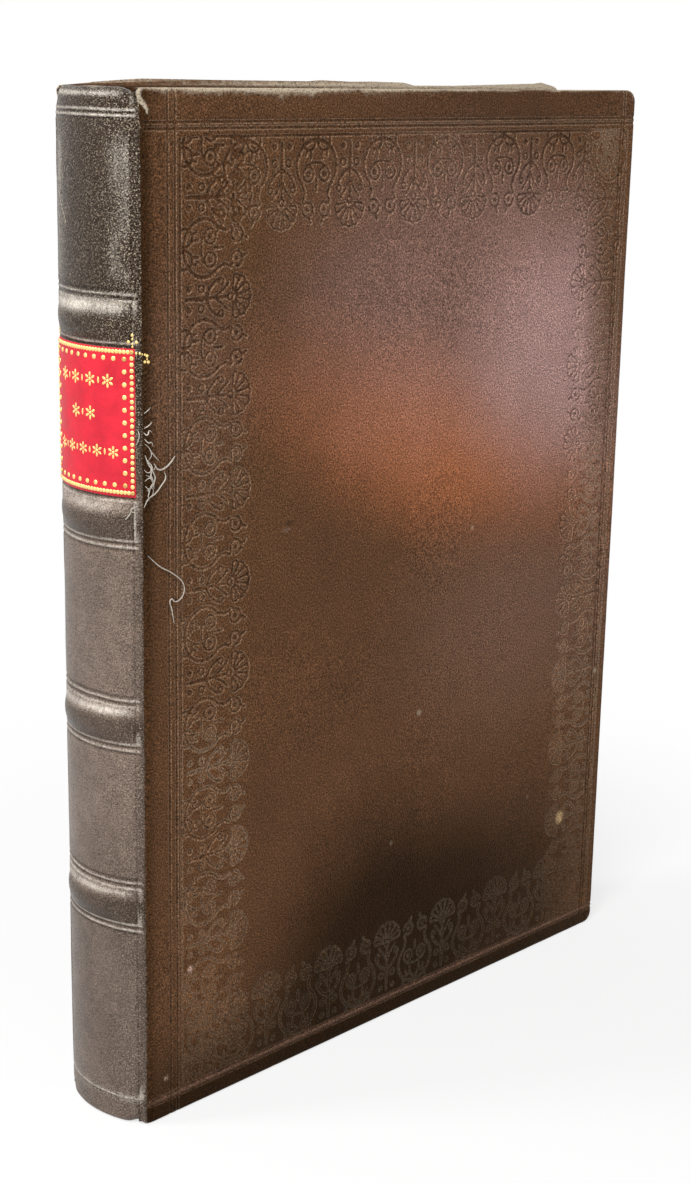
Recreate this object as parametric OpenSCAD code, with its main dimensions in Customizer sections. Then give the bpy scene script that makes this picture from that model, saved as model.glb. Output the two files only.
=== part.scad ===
// Antique book in full leather, standing on its tail edge.
// X runs from the spine to the fore-edge, Y through the thickness with the
// front cover at -Y, and Z up. The origin is the centre of the base.
// All sizes are in millimetres.

/* [Covers] */
// Width of a cover from its joint to the fore-edge
cover_w = 165; // [130:1:210]
// Height of the covers and the spine
cover_h = 231; // [210:1:300]
// Thickness of the millboard
board_t = 2.2; // [1.8:0.1:4]
// Radius of the worn fore-edge corners
corner_r = 3; // [1:0.5:8]
// Radius of the covers' leather edges
edge_r = 0.9; // [0.5:0.1:1.2]

/* [Leather] */
// Thickness of the leather on the covers
leather_t = 0.8; // [0.5:0.1:1.2]
// Thickness of the leather pared for the turn-ins
turn_in_t = 0.4; // [0.2:0.1:0.6]
// Width of the turn-ins inside the covers
turn_in_w = 14; // [8:1:25]
// Thickness of the leather on the spine
spine_leather_t = 0.9; // [0.6:0.1:1.2]
// Reach of the head and tail caps over the endbands
cap_reach = 3; // [2.4:0.1:4]
// Radius of the outer edge of the caps
cap_r = 0.85; // [0.5:0.05:1]
// Width of the leather folded into each nipped corner at the joint
nip_w = 1; // [0.5:0.1:2]
// Height of the leather folded into each nipped corner at the joint
nip_h = 2; // [1:0.1:3]

/* [Pages] */
// Thickness of the pressed leaves
leaves_t = 20.5; // [12:0.5:45]
// Overhang of the covers past the leaves
square = 3; // [2.2:0.1:5]

/* [Spine] */
// Rise of the rounded spine above the joints
spine_rise = 4.5; // [3.5:0.1:5.5]
// Thickness of the paper linings between the bands
lining_t = 0.3; // [0.2:0.1:0.6]
// Width of a raised band at its foot
band_w = 8; // [5:0.5:12]
// Height of a raised band above the spine
band_rise = 1.6; // [1.2:0.1:2.5]
// Height of the lowest raised band above the tail
band_1_z = 54; // [45:0.5:65]
// Height of the second raised band above the tail
band_2_z = 96.5; // [88:0.5:108]
// Height of the third raised band above the tail
band_3_z = 142; // [130:0.5:148]
// Height of the top raised band above the tail
band_4_z = 184; // [172:0.5:192]

/* [Lacing] */
// Length of a cord's slip across the board
slip_l = 11; // [7:0.5:16]
// Width of a slip where it is frayed flat
slip_w = 6; // [4:0.5:9]
// Thickness of a slip in its channel
slip_t = 0.6; // [0.3:0.1:0.8]
// Diameter of the lacing hole through the board
lacing_d = 2.4; // [1.6:0.1:3.2]

/* [Label and endpapers] */
// Thickness of the pared title label
label_t = 0.3; // [0.2:0.05:0.5]
// Bare leather between the label and each joint
label_inset = 1; // [0.6:0.1:3]
// Bare leather between the label and the bands above and below it
label_gap = 1.3; // [0.5:0.1:4]
// Thickness of a pastedown
pastedown_t = 0.2; // [0.15:0.05:0.4]
// Leather left bare round a pastedown
pastedown_margin = 4; // [3:0.5:8]

/* [Tooling] */
// Depth of everything tooled into the leather
tool_d = 0.3; // [0.1:0.05:0.4]
// Width of a tooled line
line_w = 0.7; // [0.4:0.1:1]
// Distance between the two lines of a fillet
fillet_pitch = 1.5; // [1.2:0.1:3]
// Distance of the fillets from a cover's head and joint
fillet_inset = 7; // [5:0.5:9]
// Distance of the fillets from a cover's fore-edge and tail
fillet_outset = 3; // [2:0.5:4]
// Distance of the lines on the spine from the middle of their band
spine_line_z = 5.7; // [5:0.1:7]
// Distance of the line under a cap from the head or the tail
cap_line_z = 5.4; // [4:0.1:8]
// Distance of the roll from a cover's head and joint
roll_inset = 10.5; // [9:0.5:14]
// Distance of the roll from a cover's fore-edge and tail
roll_outset = 5.5; // [5:0.5:9]
// Length of one repeat of the roll
roll_pitch = 21; // [17:0.5:25]
// Radius of a loop of the roll
loop_r = 6.2; // [4:0.1:7]
// Radius of a fan of the roll
fan_r = 4.4; // [3:0.1:5]
// Width of the roll from its loops to the tips of its fans
roll_w = 20; // [18:0.5:24]

/* [Fit] */
// Running gap between the covers and what they close on
gap = 0.3; // [0.2:0.05:0.5]

/* [Hidden] */

$fn = 128;

// Bands from the tail to the head
band_z = [band_1_z, band_2_z, band_3_z, band_4_z];

// A cover is its board in leather, with the pastedown on its inner face
clad_t = leather_t + board_t;
cover_t = clad_t + pastedown_t;
book_t = 2 * cover_t + 2 * gap + leaves_t;

// Overall width is shared out about the origin
spine_out = spine_rise + band_rise;
joint_x = (spine_out - cover_w) / 2;
fore_edge_x = joint_x + cover_w;
leaves_x = fore_edge_x - square;

// The spine is an arc through both joints
spine_r = (pow(spine_rise, 2) + pow(book_t / 2, 2)) / (2 * spine_rise);
spine_x = joint_x + spine_r - spine_rise;
leather_in_r = spine_r - spine_leather_t;
block_r = leather_in_r - lining_t;

// A band's crest is a tighter arc, so it dies away towards the joints
crest_r = (pow(spine_out, 2) + pow(book_t / 2, 2)) / (2 * spine_out);
crest_x = joint_x + crest_r - spine_out;
bead_r = (pow(band_rise, 2) + pow(band_w / 2, 2)) / (2 * band_rise);

// The caps fold over the squares at the head and the tail
leaves_top = cover_h - square;
endband_h = square - spine_leather_t;
endband_r = endband_h / 2;

// The label fills the compartment below the top band
label_bottom = band_3_z + band_w / 2 + label_gap;
label_top = band_4_z - band_w / 2 - label_gap;

// Overshoot of cutting shapes, and a length past every face
over = 1;
past = cover_w + cover_h;

// Rectangle with all four corners rounded, its lowest corner at the origin
module rounded_rect(w, h, r) {
  translate([r, 0]) square([w - 2 * r, h]);
  translate([0, r]) square([w, h - 2 * r]);
  for (x = [r, w - r], y = [r, h - r]) translate([x, y]) circle(r = r);
}

// Everything on the spine's side of the joints, kept clear of the covers
module spine_side() {
  translate([joint_x - gap - past, -past / 2, -over]) cube(past);
}

// Disc about the spine's axis
module spine_disc(r, z0, z1) {
  translate([spine_x, 0, z0]) cylinder(r = r, h = z1 - z0);
}

// Torus that follows a band's crest across the spine
module bead(z, r) {
  translate([crest_x, 0, z])
    rotate_extrude()
      translate([crest_r - bead_r, 0]) circle(r = r);
}

// Section of the spine leather: a wall with a cap turned in at each end
module spine_leather_section() {
  translate([leather_in_r, cap_r]) square([spine_leather_t, cover_h - 2 * cap_r]);
  for (z = [0, cover_h - spine_leather_t])
    translate([spine_r - cap_reach, z]) square([cap_reach - cap_r, spine_leather_t]);
  for (z = [cap_r, cover_h - cap_r]) translate([spine_r - cap_r, z]) circle(r = cap_r);
}

module text_block() {
  color("wheat")
    difference() {
      intersection() {
        translate([joint_x - past / 2, -past / 2, square])
          cube([past / 2 + leaves_x - joint_x, past, leaves_top - square]);
        union() {
          intersection() {
            spine_disc(block_r, 0, cover_h);
            spine_side();
          }
          intersection() {
            spine_disc(block_r, 0, cover_h);
            translate([joint_x - past / 2, -leaves_t / 2, 0]) cube([past, leaves_t, cover_h]);
          }
          translate([spine_x, -leaves_t / 2, 0]) cube([past, leaves_t, cover_h]);
        }
      }
      // The fore-edge is hollow by as much as the spine is round
      translate([leaves_x + sqrt(pow(block_r, 2) - pow(leaves_t / 2, 2)), 0, square - over])
        cylinder(r = block_r, h = cover_h);
    }
}

module spine_linings() {
  color("tan")
    difference() {
      intersection() {
        spine_disc(leather_in_r, square, leaves_top);
        spine_side();
      }
      spine_disc(block_r, square - over, leaves_top + over);
      for (z = band_z) bead(z, bead_r - spine_leather_t);
    }
}

// Worked core of an endband, flat where it sits on the leaves
module endband() {
  intersection() {
    translate([spine_x, 0, leaves_top])
      rotate_extrude()
        translate([block_r - 2 * endband_r, 0]) {
          square([2 * endband_r, endband_h - endband_r]);
          translate([endband_r, endband_h - endband_r]) circle(r = endband_r);
        }
    translate([joint_x - past, -leaves_t / 2, 0]) cube([past - gap, leaves_t, past]);
  }
}

module headband() {
  color("firebrick") endband();
}

module tailband() {
  color("firebrick") translate([0, 0, cover_h]) mirror([0, 0, 1]) endband();
}

module sewing_cord(z) {
  color("burlywood")
    difference() {
      intersection() {
        bead(z, bead_r - spine_leather_t);
        spine_side();
      }
      spine_disc(block_r, z - bead_r, z + bead_r);
    }
}

// Line tooled across the spine
module spine_line(z) {
  translate([spine_x, 0, z - line_w / 2])
    rotate_extrude() translate([spine_r - tool_d, 0]) square([tool_d + over, line_w]);
}

module spine_leather() {
  color([0.14, 0.12, 0.11])
    intersection() {
      difference() {
        union() {
          translate([spine_x, 0, 0]) rotate_extrude() spine_leather_section();
          for (z = band_z) bead(z, bead_r);
        }
        spine_disc(leather_in_r, spine_leather_t, cover_h - spine_leather_t);
        for (z = band_z) bead(z, bead_r - spine_leather_t);
        for (z = [cap_line_z, cover_h - cap_line_z]) spine_line(z);
        for (z = band_z, side = [-1, 1]) spine_line(z + side * spine_line_z);
      }
      spine_side();
    }
}

module title_label() {
  color("crimson")
    intersection() {
      difference() {
        spine_disc(spine_r + label_t, label_bottom, label_top);
        spine_disc(spine_r, label_bottom - over, label_top + over);
      }
      spine_side();
      translate([joint_x - past / 2, -book_t / 2 + label_inset, 0])
        cube([past, book_t - 2 * label_inset, cover_h]);
    }
}

// The covers are drawn as the front one, with its outer face at -Y

// Outline of a cover seen from the front, with its joint at X = 0
module cover_outline(w, h, r, clip_w, clip_h) {
  difference() {
    intersection() {
      translate([-over - r, 0]) rounded_rect(w + over + r, h, r);
      square([w, h]);
    }
    polygon([[-over, -over], [clip_w, -over], [clip_w, 0], [0, clip_h], [-over, clip_h]]);
    polygon([[-over, h + over], [clip_w, h + over], [clip_w, h], [0, h - clip_h],
             [-over, h - clip_h]]);
  }
}

// Whole board in its leather, before the board is taken out
module clad_board() {
  translate([joint_x, -book_t / 2, 0])
    intersection() {
      translate([0, clad_t, 0])
        rotate([90, 0, 0])
          linear_extrude(clad_t) cover_outline(cover_w, cover_h, corner_r, nip_w, nip_h);
      rotate([90, 0, 90]) linear_extrude(cover_w) rounded_rect(clad_t, cover_h, edge_r);
      translate([-clad_t, 0, 0])
        linear_extrude(cover_h) rounded_rect(cover_w + clad_t, clad_t, edge_r);
    }
}

// One side's fillet, seen from the front, as two lines along X
module fillet(length) {
  for (y = [0, fillet_pitch]) translate([0, y]) square([length, line_w]);
}

// Roll along X over a length, its loops on the X axis side and its fans inwards
module roll(length) {
  repeats = floor((length - 2 * loop_r) / roll_pitch);
  first = (length - repeats * roll_pitch) / 2;
  for (k = [0:repeats])
    translate([first + k * roll_pitch, loop_r])
      difference() {
        circle(r = loop_r, $fn = 20);
        circle(r = loop_r - line_w, $fn = 20);
      }
  for (k = [0:repeats - 1])
    translate([first + (k + 0.5) * roll_pitch, roll_w - fan_r])
      intersection() {
        circle(r = fan_r, $fn = 20);
        translate([-fan_r, 0]) square([2 * fan_r, fan_r]);
      }
}

// Fillets on all four sides of a cover and the roll inside them
module tooling() {
  translate([0, cover_h - fillet_inset]) mirror([0, 1]) fillet(cover_w);
  translate([0, fillet_outset]) fillet(cover_w);
  translate([fillet_inset, 0]) mirror([1, -1]) fillet(cover_h);
  translate([cover_w - fillet_outset, 0]) rotate(90) fillet(cover_h);
  side_l = cover_h - roll_inset - roll_outset;
  end_x = roll_inset + roll_w;
  end_l = cover_w - roll_outset - roll_w - end_x;
  translate([roll_inset, cover_h - roll_inset]) rotate(-90) roll(side_l);
  translate([cover_w - roll_outset, roll_outset]) rotate(90) roll(side_l);
  translate([end_x, cover_h - roll_inset]) mirror([0, 1]) roll(end_l);
  translate([end_x, roll_outset]) roll(end_l);
}

// Board, thinner under the turn-ins so that the pastedown lies flat
module whole_board() {
  translate([joint_x, -book_t / 2, 0]) {
    translate([0, clad_t - turn_in_t, leather_t])
      rotate([90, 0, 0])
        linear_extrude(board_t - turn_in_t)
          cover_outline(cover_w - leather_t, cover_h - 2 * leather_t, corner_r - leather_t,
                        2 * nip_w, 2 * nip_h);
    translate([0, leather_t, turn_in_w])
      cube([cover_w - turn_in_w, board_t, cover_h - 2 * turn_in_w]);
  }
}

// Laced cord ends: flat in a channel, through the board and splayed inside
module slips() {
  lacing_x = joint_x + slip_l - slip_w / 2;
  outer_y = -book_t / 2 + leather_t;
  splay_t = slip_t / 2;
  for (z = band_z) {
    translate([joint_x, outer_y, z - slip_w / 2])
      cube([slip_l - slip_w / 2, slip_t, slip_w]);
    translate([lacing_x, outer_y, z])
      rotate([-90, 0, 0]) {
        cylinder(d = slip_w, h = slip_t);
        cylinder(d = lacing_d, h = board_t);
        translate([0, 0, board_t - splay_t]) cylinder(d = slip_w, h = splay_t);
      }
  }
}

module board() {
  difference() {
    whole_board();
    slips();
  }
}

module cover_leather() {
  difference() {
    clad_board();
    whole_board();
    translate([joint_x, -book_t / 2 + tool_d, 0])
      rotate([90, 0, 0]) linear_extrude(tool_d + over) tooling();
  }
}

module pastedown() {
  translate([joint_x + pastedown_margin / 2, -book_t / 2 + clad_t, pastedown_margin])
    cube([cover_w - 1.5 * pastedown_margin, pastedown_t, cover_h - 2 * pastedown_margin]);
}

module front_board() {
  color("tan") board();
}

module front_slips() {
  color("burlywood") slips();
}

module front_leather() {
  color([0.27, 0.18, 0.13]) cover_leather();
}

module front_pastedown() {
  color("ivory") pastedown();
}

module back_board() {
  color("tan") mirror([0, 1, 0]) board();
}

module back_slips() {
  color("burlywood") mirror([0, 1, 0]) slips();
}

module back_leather() {
  color([0.27, 0.18, 0.13]) mirror([0, 1, 0]) cover_leather();
}

module back_pastedown() {
  color("ivory") mirror([0, 1, 0]) pastedown();
}

text_block();
spine_linings();
headband();
tailband();
sewing_cord(band_1_z);  // sewing_cord_1
sewing_cord(band_2_z);  // sewing_cord_2
sewing_cord(band_3_z);  // sewing_cord_3
sewing_cord(band_4_z);  // sewing_cord_4
spine_leather();
title_label();
front_board();
front_slips();
front_leather();
front_pastedown();
back_board();
back_slips();
back_leather();
back_pastedown();
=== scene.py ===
"""Looks of an antique book in full leather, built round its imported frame."""
import math

import bmesh
import bpy
import numpy as np
from bpy.props import FloatProperty, FloatVectorProperty, IntProperty, PointerProperty
from mathutils import Matrix, Vector


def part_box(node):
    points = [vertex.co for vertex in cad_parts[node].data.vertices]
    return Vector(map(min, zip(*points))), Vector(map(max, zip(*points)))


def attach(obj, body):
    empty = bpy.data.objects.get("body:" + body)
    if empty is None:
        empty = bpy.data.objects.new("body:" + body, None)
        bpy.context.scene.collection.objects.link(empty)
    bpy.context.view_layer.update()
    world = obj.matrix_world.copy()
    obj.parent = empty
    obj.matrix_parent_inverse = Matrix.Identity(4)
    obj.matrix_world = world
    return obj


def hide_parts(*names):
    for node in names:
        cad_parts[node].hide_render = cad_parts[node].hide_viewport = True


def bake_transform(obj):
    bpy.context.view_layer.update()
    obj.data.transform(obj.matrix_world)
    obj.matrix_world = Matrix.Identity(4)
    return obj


bl_info = {
    "name": "Antique Leather Book",
    "version": (1, 0, 0),
    "blender": (4, 5, 0),
    "location": "View3D > Sidebar > Leather Book",
    "description": "Builds the leather, gilding, paper and thread of an old bound book",
    "category": "Add Mesh",
}

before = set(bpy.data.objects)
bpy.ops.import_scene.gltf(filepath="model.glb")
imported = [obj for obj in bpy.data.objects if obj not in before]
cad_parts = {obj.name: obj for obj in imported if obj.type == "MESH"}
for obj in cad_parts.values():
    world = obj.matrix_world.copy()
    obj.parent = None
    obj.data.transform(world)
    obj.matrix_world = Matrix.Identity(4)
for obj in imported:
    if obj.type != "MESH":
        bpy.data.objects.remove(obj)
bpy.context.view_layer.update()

# Mesh code works in millimetres, and the frame is in metres
MM = 0.001


def node_box(name):
    """Lowest and highest corner of a frame node, in millimetres."""
    low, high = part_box(name)
    return np.array(low) / MM, np.array(high) / MM


# Places of the binding, taken from the frame
LEATHER_LOW, LEATHER_HIGH = node_box("front_leather")
PASTE_LOW, PASTE_HIGH = node_box("front_pastedown")
PAGES_LOW, PAGES_HIGH = node_box("text_block")
LABEL_LOW, LABEL_HIGH = node_box("title_label")
BAND_Z = [float(sum(node_box(f"sewing_cord_{i}"))[2] / 2) for i in (1, 2, 3, 4)]

JOINT_X = float(LEATHER_LOW[0])
FACE_Y = float(LEATHER_LOW[1])
COVER_W = float(LEATHER_HIGH[0] - JOINT_X)
COVER_H = float(LEATHER_HIGH[2])
CLAD_T = float(LEATHER_HIGH[1] - FACE_Y)
LABEL_T = 0.3
SPINE_RISE = float(JOINT_X - LABEL_LOW[0] - LABEL_T)
SPINE_OUT = float(JOINT_X - node_box("spine_leather")[0][0])
SPINE_R = (SPINE_RISE**2 + FACE_Y**2) / (2 * SPINE_RISE)
SPINE_X = JOINT_X + SPINE_R - SPINE_RISE
CREST_R = (SPINE_OUT**2 + FACE_Y**2) / (2 * SPINE_OUT)
CREST_X = JOINT_X + CREST_R - SPINE_OUT
JOINT_ANGLE = math.asin(-FACE_Y / SPINE_R)
HALF_ARC = SPINE_R * JOINT_ANGLE

# Thickness, edges, caps and nipped ends of the leather
EDGE_R = 0.9
CORNER_R = 3.0
LEATHER_T = 0.9
CAP_REACH = 3.0
CAP_R = 1.3
CREASE_SPAN = 1.2
FLAP_W = 2.2
NOTCH_H = 5.6
NOTCH_D = 1.5

# Camera that sees the book as the photograph does
EYE = (-0.3391, -0.3273, 0.2367)
EYE_YAW = 0.79745
EYE_PITCH = 0.26251
EYE_ROLL = 0.019666
EYE_LENS = 59.98


class LeatherBookTooling(bpy.types.PropertyGroup):
    """Blind tooling of the covers and the spine"""
    roll_depth: FloatProperty(
        name="Roll Depth", description="Depth of the ornament rolled into the covers",
        default=0.00036, min=0, max=0.0006, subtype="DISTANCE", unit="LENGTH")
    roll_repeat: FloatProperty(
        name="Roll Repeat", description="Length of one repeat of the ornament",
        default=0.02105, min=0.015, max=0.03, subtype="DISTANCE", unit="LENGTH")
    fillet_depth: FloatProperty(
        name="Fillet Depth", description="Depth of the straight lines",
        default=0.00026, min=0, max=0.0006, subtype="DISTANCE", unit="LENGTH")
    grid_step: FloatProperty(
        name="Grid Step", description="Spacing of the points that carry the tooling",
        default=0.0003, min=0.0002, max=0.001, subtype="DISTANCE", unit="LENGTH")
    triangles: IntProperty(
        name="Triangles", description="Most triangles that one cover's leather keeps",
        default=185000, min=20000, max=198000)


class LeatherBookColours(bpy.types.PropertyGroup):
    """Colours of leather, gold, paper and thread"""
    cover: FloatVectorProperty(
        name="Cover Leather", description="Brown of the covers", subtype="COLOR",
        default=(0.102, 0.049, 0.023), size=3, min=0, max=1)
    # Painted reflection of a red glow, laid on the covers as colour
    cover_red: FloatVectorProperty(
        name="Rubbed Leather", description="Redder brown where hands have rubbed a cover",
        subtype="COLOR", default=(0.300, 0.107, 0.045), size=3, min=0, max=1)
    # Painted sheen near the head, laid on the covers as colour
    cover_bloom: FloatVectorProperty(
        name="Bloom", description="Greyish bloom near the head", subtype="COLOR",
        default=(0.370, 0.227, 0.207), size=3, min=0, max=1)
    cover_fore: FloatVectorProperty(
        name="Fore-edge Leather", description="Plain brown of the tooling at the fore-edge",
        subtype="COLOR", default=(0.150, 0.082, 0.055), size=3, min=0, max=1)
    # Painted shade near the tail and the head, on the tail edge and along the joints
    cover_dark: FloatVectorProperty(
        name="Handled Leather", description="Darkened leather near the tail", subtype="COLOR",
        default=(0.014, 0.006, 0.001), size=3, min=0, max=1)
    spine: FloatVectorProperty(
        name="Spine Leather", description="Black brown of the spine", subtype="COLOR",
        default=(0.026, 0.016, 0.010), size=3, min=0, max=1)
    # Painted sheen: grey laid on the spine below the label
    spine_sheen_grey: FloatVectorProperty(
        name="Faded Spine", description="Grey to which the spine has faded lower down",
        subtype="COLOR", default=(0.176, 0.128, 0.102), size=3, min=0, max=1)
    worn: FloatVectorProperty(
        name="Worn Edge", description="Pale fibre where an edge has rubbed through",
        subtype="COLOR", default=(0.56, 0.47, 0.35), size=3, min=0, max=1)
    # Painted highlight on the bands' shoulders, the lines and the caps
    polish_highlight: FloatVectorProperty(
        name="Polish", description="Pale leather polished by handling on bands and lines",
        subtype="COLOR", default=(0.82, 0.74, 0.64), size=3, min=0, max=1)
    label: FloatVectorProperty(
        name="Label", description="Red goatskin of the title label", subtype="COLOR",
        default=(0.66, 0.022, 0.042), size=3, min=0, max=1)
    gold: FloatVectorProperty(
        name="Gold Leaf", description="Gold leaf on the label", subtype="COLOR",
        default=(1.00, 0.70, 0.26), size=3, min=0, max=1)
    paper: FloatVectorProperty(
        name="Paper", description="Toned rag paper of the leaves", subtype="COLOR",
        default=(0.62, 0.50, 0.33), size=3, min=0, max=1)


class LeatherBookLabel(bpy.types.PropertyGroup):
    """Gilding of the title label"""
    bead_step: FloatProperty(
        name="Bead Step", description="Spacing of the fine beads up the sides",
        default=0.00125, min=0.0008, max=0.003, subtype="DISTANCE", unit="LENGTH")
    row_step: FloatProperty(
        name="Row Step", description="Spacing of the fine beads along head and foot",
        default=0.00085, min=0.0006, max=0.003, subtype="DISTANCE", unit="LENGTH")
    dot_step: FloatProperty(
        name="Dot Step", description="Spacing of the inner dots", default=0.00245,
        min=0.0015, max=0.005, subtype="DISTANCE", unit="LENGTH")
    bead_radius: FloatProperty(
        name="Bead Radius", description="Radius of a fine bead", default=0.00048,
        min=0.0002, max=0.001, subtype="DISTANCE", unit="LENGTH")
    dot_radius: FloatProperty(
        name="Dot Radius", description="Radius of an inner dot", default=0.00055,
        min=0.0002, max=0.001, subtype="DISTANCE", unit="LENGTH")


class LeatherBookPages(bpy.types.PropertyGroup):
    """Leaves and endpapers"""
    leaf_step: FloatProperty(
        name="Leaf Step", description="Thickness of the leaves that show as one edge",
        default=0.00025, min=0.0001, max=0.001, subtype="DISTANCE", unit="LENGTH")
    leaf_jitter: FloatProperty(
        name="Leaf Jitter", description="Unevenness of the leaves' edges", default=0.00012,
        min=0, max=0.0005, subtype="DISTANCE", unit="LENGTH")


class LeatherBookStage(bpy.types.PropertyGroup):
    """Floor and lights"""
    key_power: FloatProperty(
        name="Key Light", description="Power of the light above and left", default=11.0,
        min=0, max=100, unit="POWER")
    sheen_power: FloatProperty(
        name="Sheen Light", description="Power of the light that glances off the cover",
        default=3.5, min=0, max=100, unit="POWER")
    band_power: FloatProperty(
        name="Band Light", description="Power of the light that picks out the bands", default=4.0,
        min=0, max=100, unit="POWER")
    world_level: FloatProperty(
        name="World Level", description="Strength of the surrounding light", default=0.20,
        min=0, max=2)


# Arrays and meshes

def value_noise(x, y, cell, seed):
    """Smooth noise from -1 to 1 over the plane, with its lattice every cell millimetres."""
    lattice = np.random.default_rng(seed).uniform(-1, 1, (64, 64))
    u, v = np.asarray(x) / cell, np.asarray(y) / cell
    i, j = np.floor(u).astype(int), np.floor(v).astype(int)
    fu, fv = u - i, v - j
    fu, fv = fu * fu * (3 - 2 * fu), fv * fv * (3 - 2 * fv)
    a, b = lattice[i % 64, j % 64], lattice[(i + 1) % 64, j % 64]
    c, d = lattice[i % 64, (j + 1) % 64], lattice[(i + 1) % 64, (j + 1) % 64]
    return (a * (1 - fu) + b * fu) * (1 - fv) + (c * (1 - fu) + d * fu) * fv


def smooth(value, low, high):
    """Eased ramp from 0 at low to 1 at high."""
    t = np.clip((np.asarray(value, float) - low) / (high - low), 0, 1)
    return t * t * (3 - 2 * t)


def mesh_from_arrays(name, points, quads, triangles=()):
    """Mesh from points in millimetres, an array of quads and one of triangles."""
    points = np.asarray(points, float) * MM
    quads = np.asarray(quads, np.int32).reshape(-1, 4)
    triangles = np.asarray(triangles, np.int32).reshape(-1, 3)
    mesh = bpy.data.meshes.new(name)
    mesh.vertices.add(len(points))
    mesh.vertices.foreach_set("co", points.astype(np.float32).ravel())
    mesh.loops.add(quads.size + triangles.size)
    mesh.loops.foreach_set("vertex_index", np.concatenate([quads.ravel(), triangles.ravel()]))
    mesh.polygons.add(len(quads) + len(triangles))
    starts = np.concatenate([np.arange(len(quads)) * 4,
                             quads.size + np.arange(len(triangles)) * 3])
    mesh.polygons.foreach_set("loop_start", starts.astype(np.int32))
    mesh.update(calc_edges=True)
    mesh.validate()
    return mesh


def grid_quads(columns, rows):
    """Quads of a grid of points stored column by column."""
    i, j = (a.ravel() for a in np.meshgrid(np.arange(columns - 1), np.arange(rows - 1),
                                           indexing="ij"))
    corner = i * rows + j
    return np.stack([corner, corner + rows, corner + rows + 1, corner + 1], 1)


def rim_loop(columns, rows):
    """Column and row of each point round the edge of a grid."""
    loop = [(i, 0) for i in range(columns)] + [(columns - 1, j) for j in range(1, rows)]
    loop += [(i, rows - 1) for i in range(columns - 2, -1, -1)]
    return np.array(loop + [(0, j) for j in range(rows - 2, 0, -1)])


def add_object(name, data):
    """Object in the scene that holds a mesh, a curve, a lamp or a camera."""
    holder = bpy.data.objects.new(name, data)
    bpy.context.scene.collection.objects.link(holder)
    return holder


def add_piece(name, mesh, *materials):
    """Object for a finished mesh, smooth shaded and at the origin."""
    piece = add_object(name, mesh)
    for material in materials:
        mesh.materials.append(material)
    mesh.polygons.foreach_set("use_smooth", np.ones(len(mesh.polygons), bool))
    return piece


def point_array(mesh):
    """Mesh points in millimetres."""
    co = np.empty(len(mesh.vertices) * 3, np.float32)
    mesh.vertices.foreach_get("co", co)
    return co.reshape(-1, 3).astype(float) / MM


def set_attribute(mesh, name, values):
    """Stores one number or one vector for each point of a mesh."""
    values = np.asarray(values, np.float32)
    kind, field = ("FLOAT_VECTOR", "vector") if values.ndim > 1 else ("FLOAT", "value")
    layer = mesh.attributes.new(name, kind, "POINT")
    layer.data.foreach_set(field, values.ravel())


def store_place(mesh):
    """Stores each point's place, for the materials' patterns."""
    set_attribute(mesh, "place", point_array(mesh) * MM)


def baked(piece):
    """Replaces a piece's mesh or curve by the plain mesh that it makes."""
    graph = bpy.context.evaluated_depsgraph_get()
    mesh = bpy.data.meshes.new_from_object(piece.evaluated_get(graph))
    piece.modifiers.clear()
    if piece.type == "MESH":
        piece.data = mesh
        return piece
    curve = piece.data
    fresh = add_object(piece.name, mesh)
    bpy.data.objects.remove(piece)
    bpy.data.curves.remove(curve)
    return fresh


def outward(mesh):
    """Turns the faces of a closed mesh outwards."""
    bm = bmesh.new()
    bm.from_mesh(mesh)
    bmesh.ops.remove_doubles(bm, verts=bm.verts, dist=1e-7)
    bmesh.ops.recalc_face_normals(bm, faces=bm.faces)
    bm.to_mesh(mesh)
    bm.free()
    return mesh


def close_and_thin(mesh, triangles=None):
    """Merges doubles, fills the open side and thins the mesh to a number of triangles."""
    bm = bmesh.new()
    bm.from_mesh(mesh)
    bmesh.ops.remove_doubles(bm, verts=[v for v in bm.verts if v.is_boundary], dist=2e-7)
    bmesh.ops.dissolve_degenerate(bm, edges=[e for e in bm.edges if e.calc_length() < 1e-7],
                                  dist=1e-7)
    rim = [edge for edge in bm.edges if edge.is_boundary]
    filled = bmesh.ops.holes_fill(bm, edges=rim, sides=0)["faces"]
    bmesh.ops.triangulate(bm, faces=filled)
    bmesh.ops.recalc_face_normals(bm, faces=bm.faces)
    count = sum(len(face.verts) - 2 for face in bm.faces)
    bm.to_mesh(mesh)
    bm.free()
    if triangles and count > triangles:
        holder = add_object("thinning", mesh)
        holder.modifiers.new("Thin", "DECIMATE").ratio = triangles / count
        graph = bpy.context.evaluated_depsgraph_get()
        thinned = bpy.data.meshes.new_from_object(holder.evaluated_get(graph))
        bm = bmesh.new()
        bm.from_mesh(thinned)
        bm.to_mesh(mesh)
        bm.free()
        bpy.data.objects.remove(holder)
        bpy.data.meshes.remove(thinned)


def closed_sheet(name, face, back):
    """Closed mesh between two grids of points."""
    columns, rows = face.shape[:2]
    quads, count = grid_quads(columns, rows), columns * rows
    edge = rim_loop(columns, rows) @ (rows, 1)
    after = np.roll(edge, -1)
    wall = np.stack([edge, edge + count, after + count, after], 1)
    points = np.concatenate([face.reshape(-1, 3), back.reshape(-1, 3)])
    every = np.concatenate([quads, quads[:, ::-1] + count, wall])
    return outward(mesh_from_arrays(name, points, every))


def lofted(name, points):
    """Closed mesh through a row of closed loops of points."""
    columns, rows = points.shape[:2]
    rim = np.arange(columns - 1) * rows
    seam = np.stack([rim + rows - 1, rim + 2 * rows - 1, rim + rows, rim], 1)
    quads = np.concatenate([grid_quads(columns, rows), seam])
    mesh = mesh_from_arrays(name, points.reshape(-1, 3), quads)
    close_and_thin(mesh)
    return mesh


# Outer surface of the leather, by distance along it from the joint and by height

def arc_point(u):
    """Section of spine and cover: u is the distance from the joint, below 0 on the spine."""
    angle = JOINT_ANGLE + np.minimum(u, 0) / SPINE_R
    x = SPINE_X - SPINE_R * np.cos(angle) + np.maximum(u, 0)
    y = -SPINE_R * np.sin(angle)
    return np.stack([x, y], -1)


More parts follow.
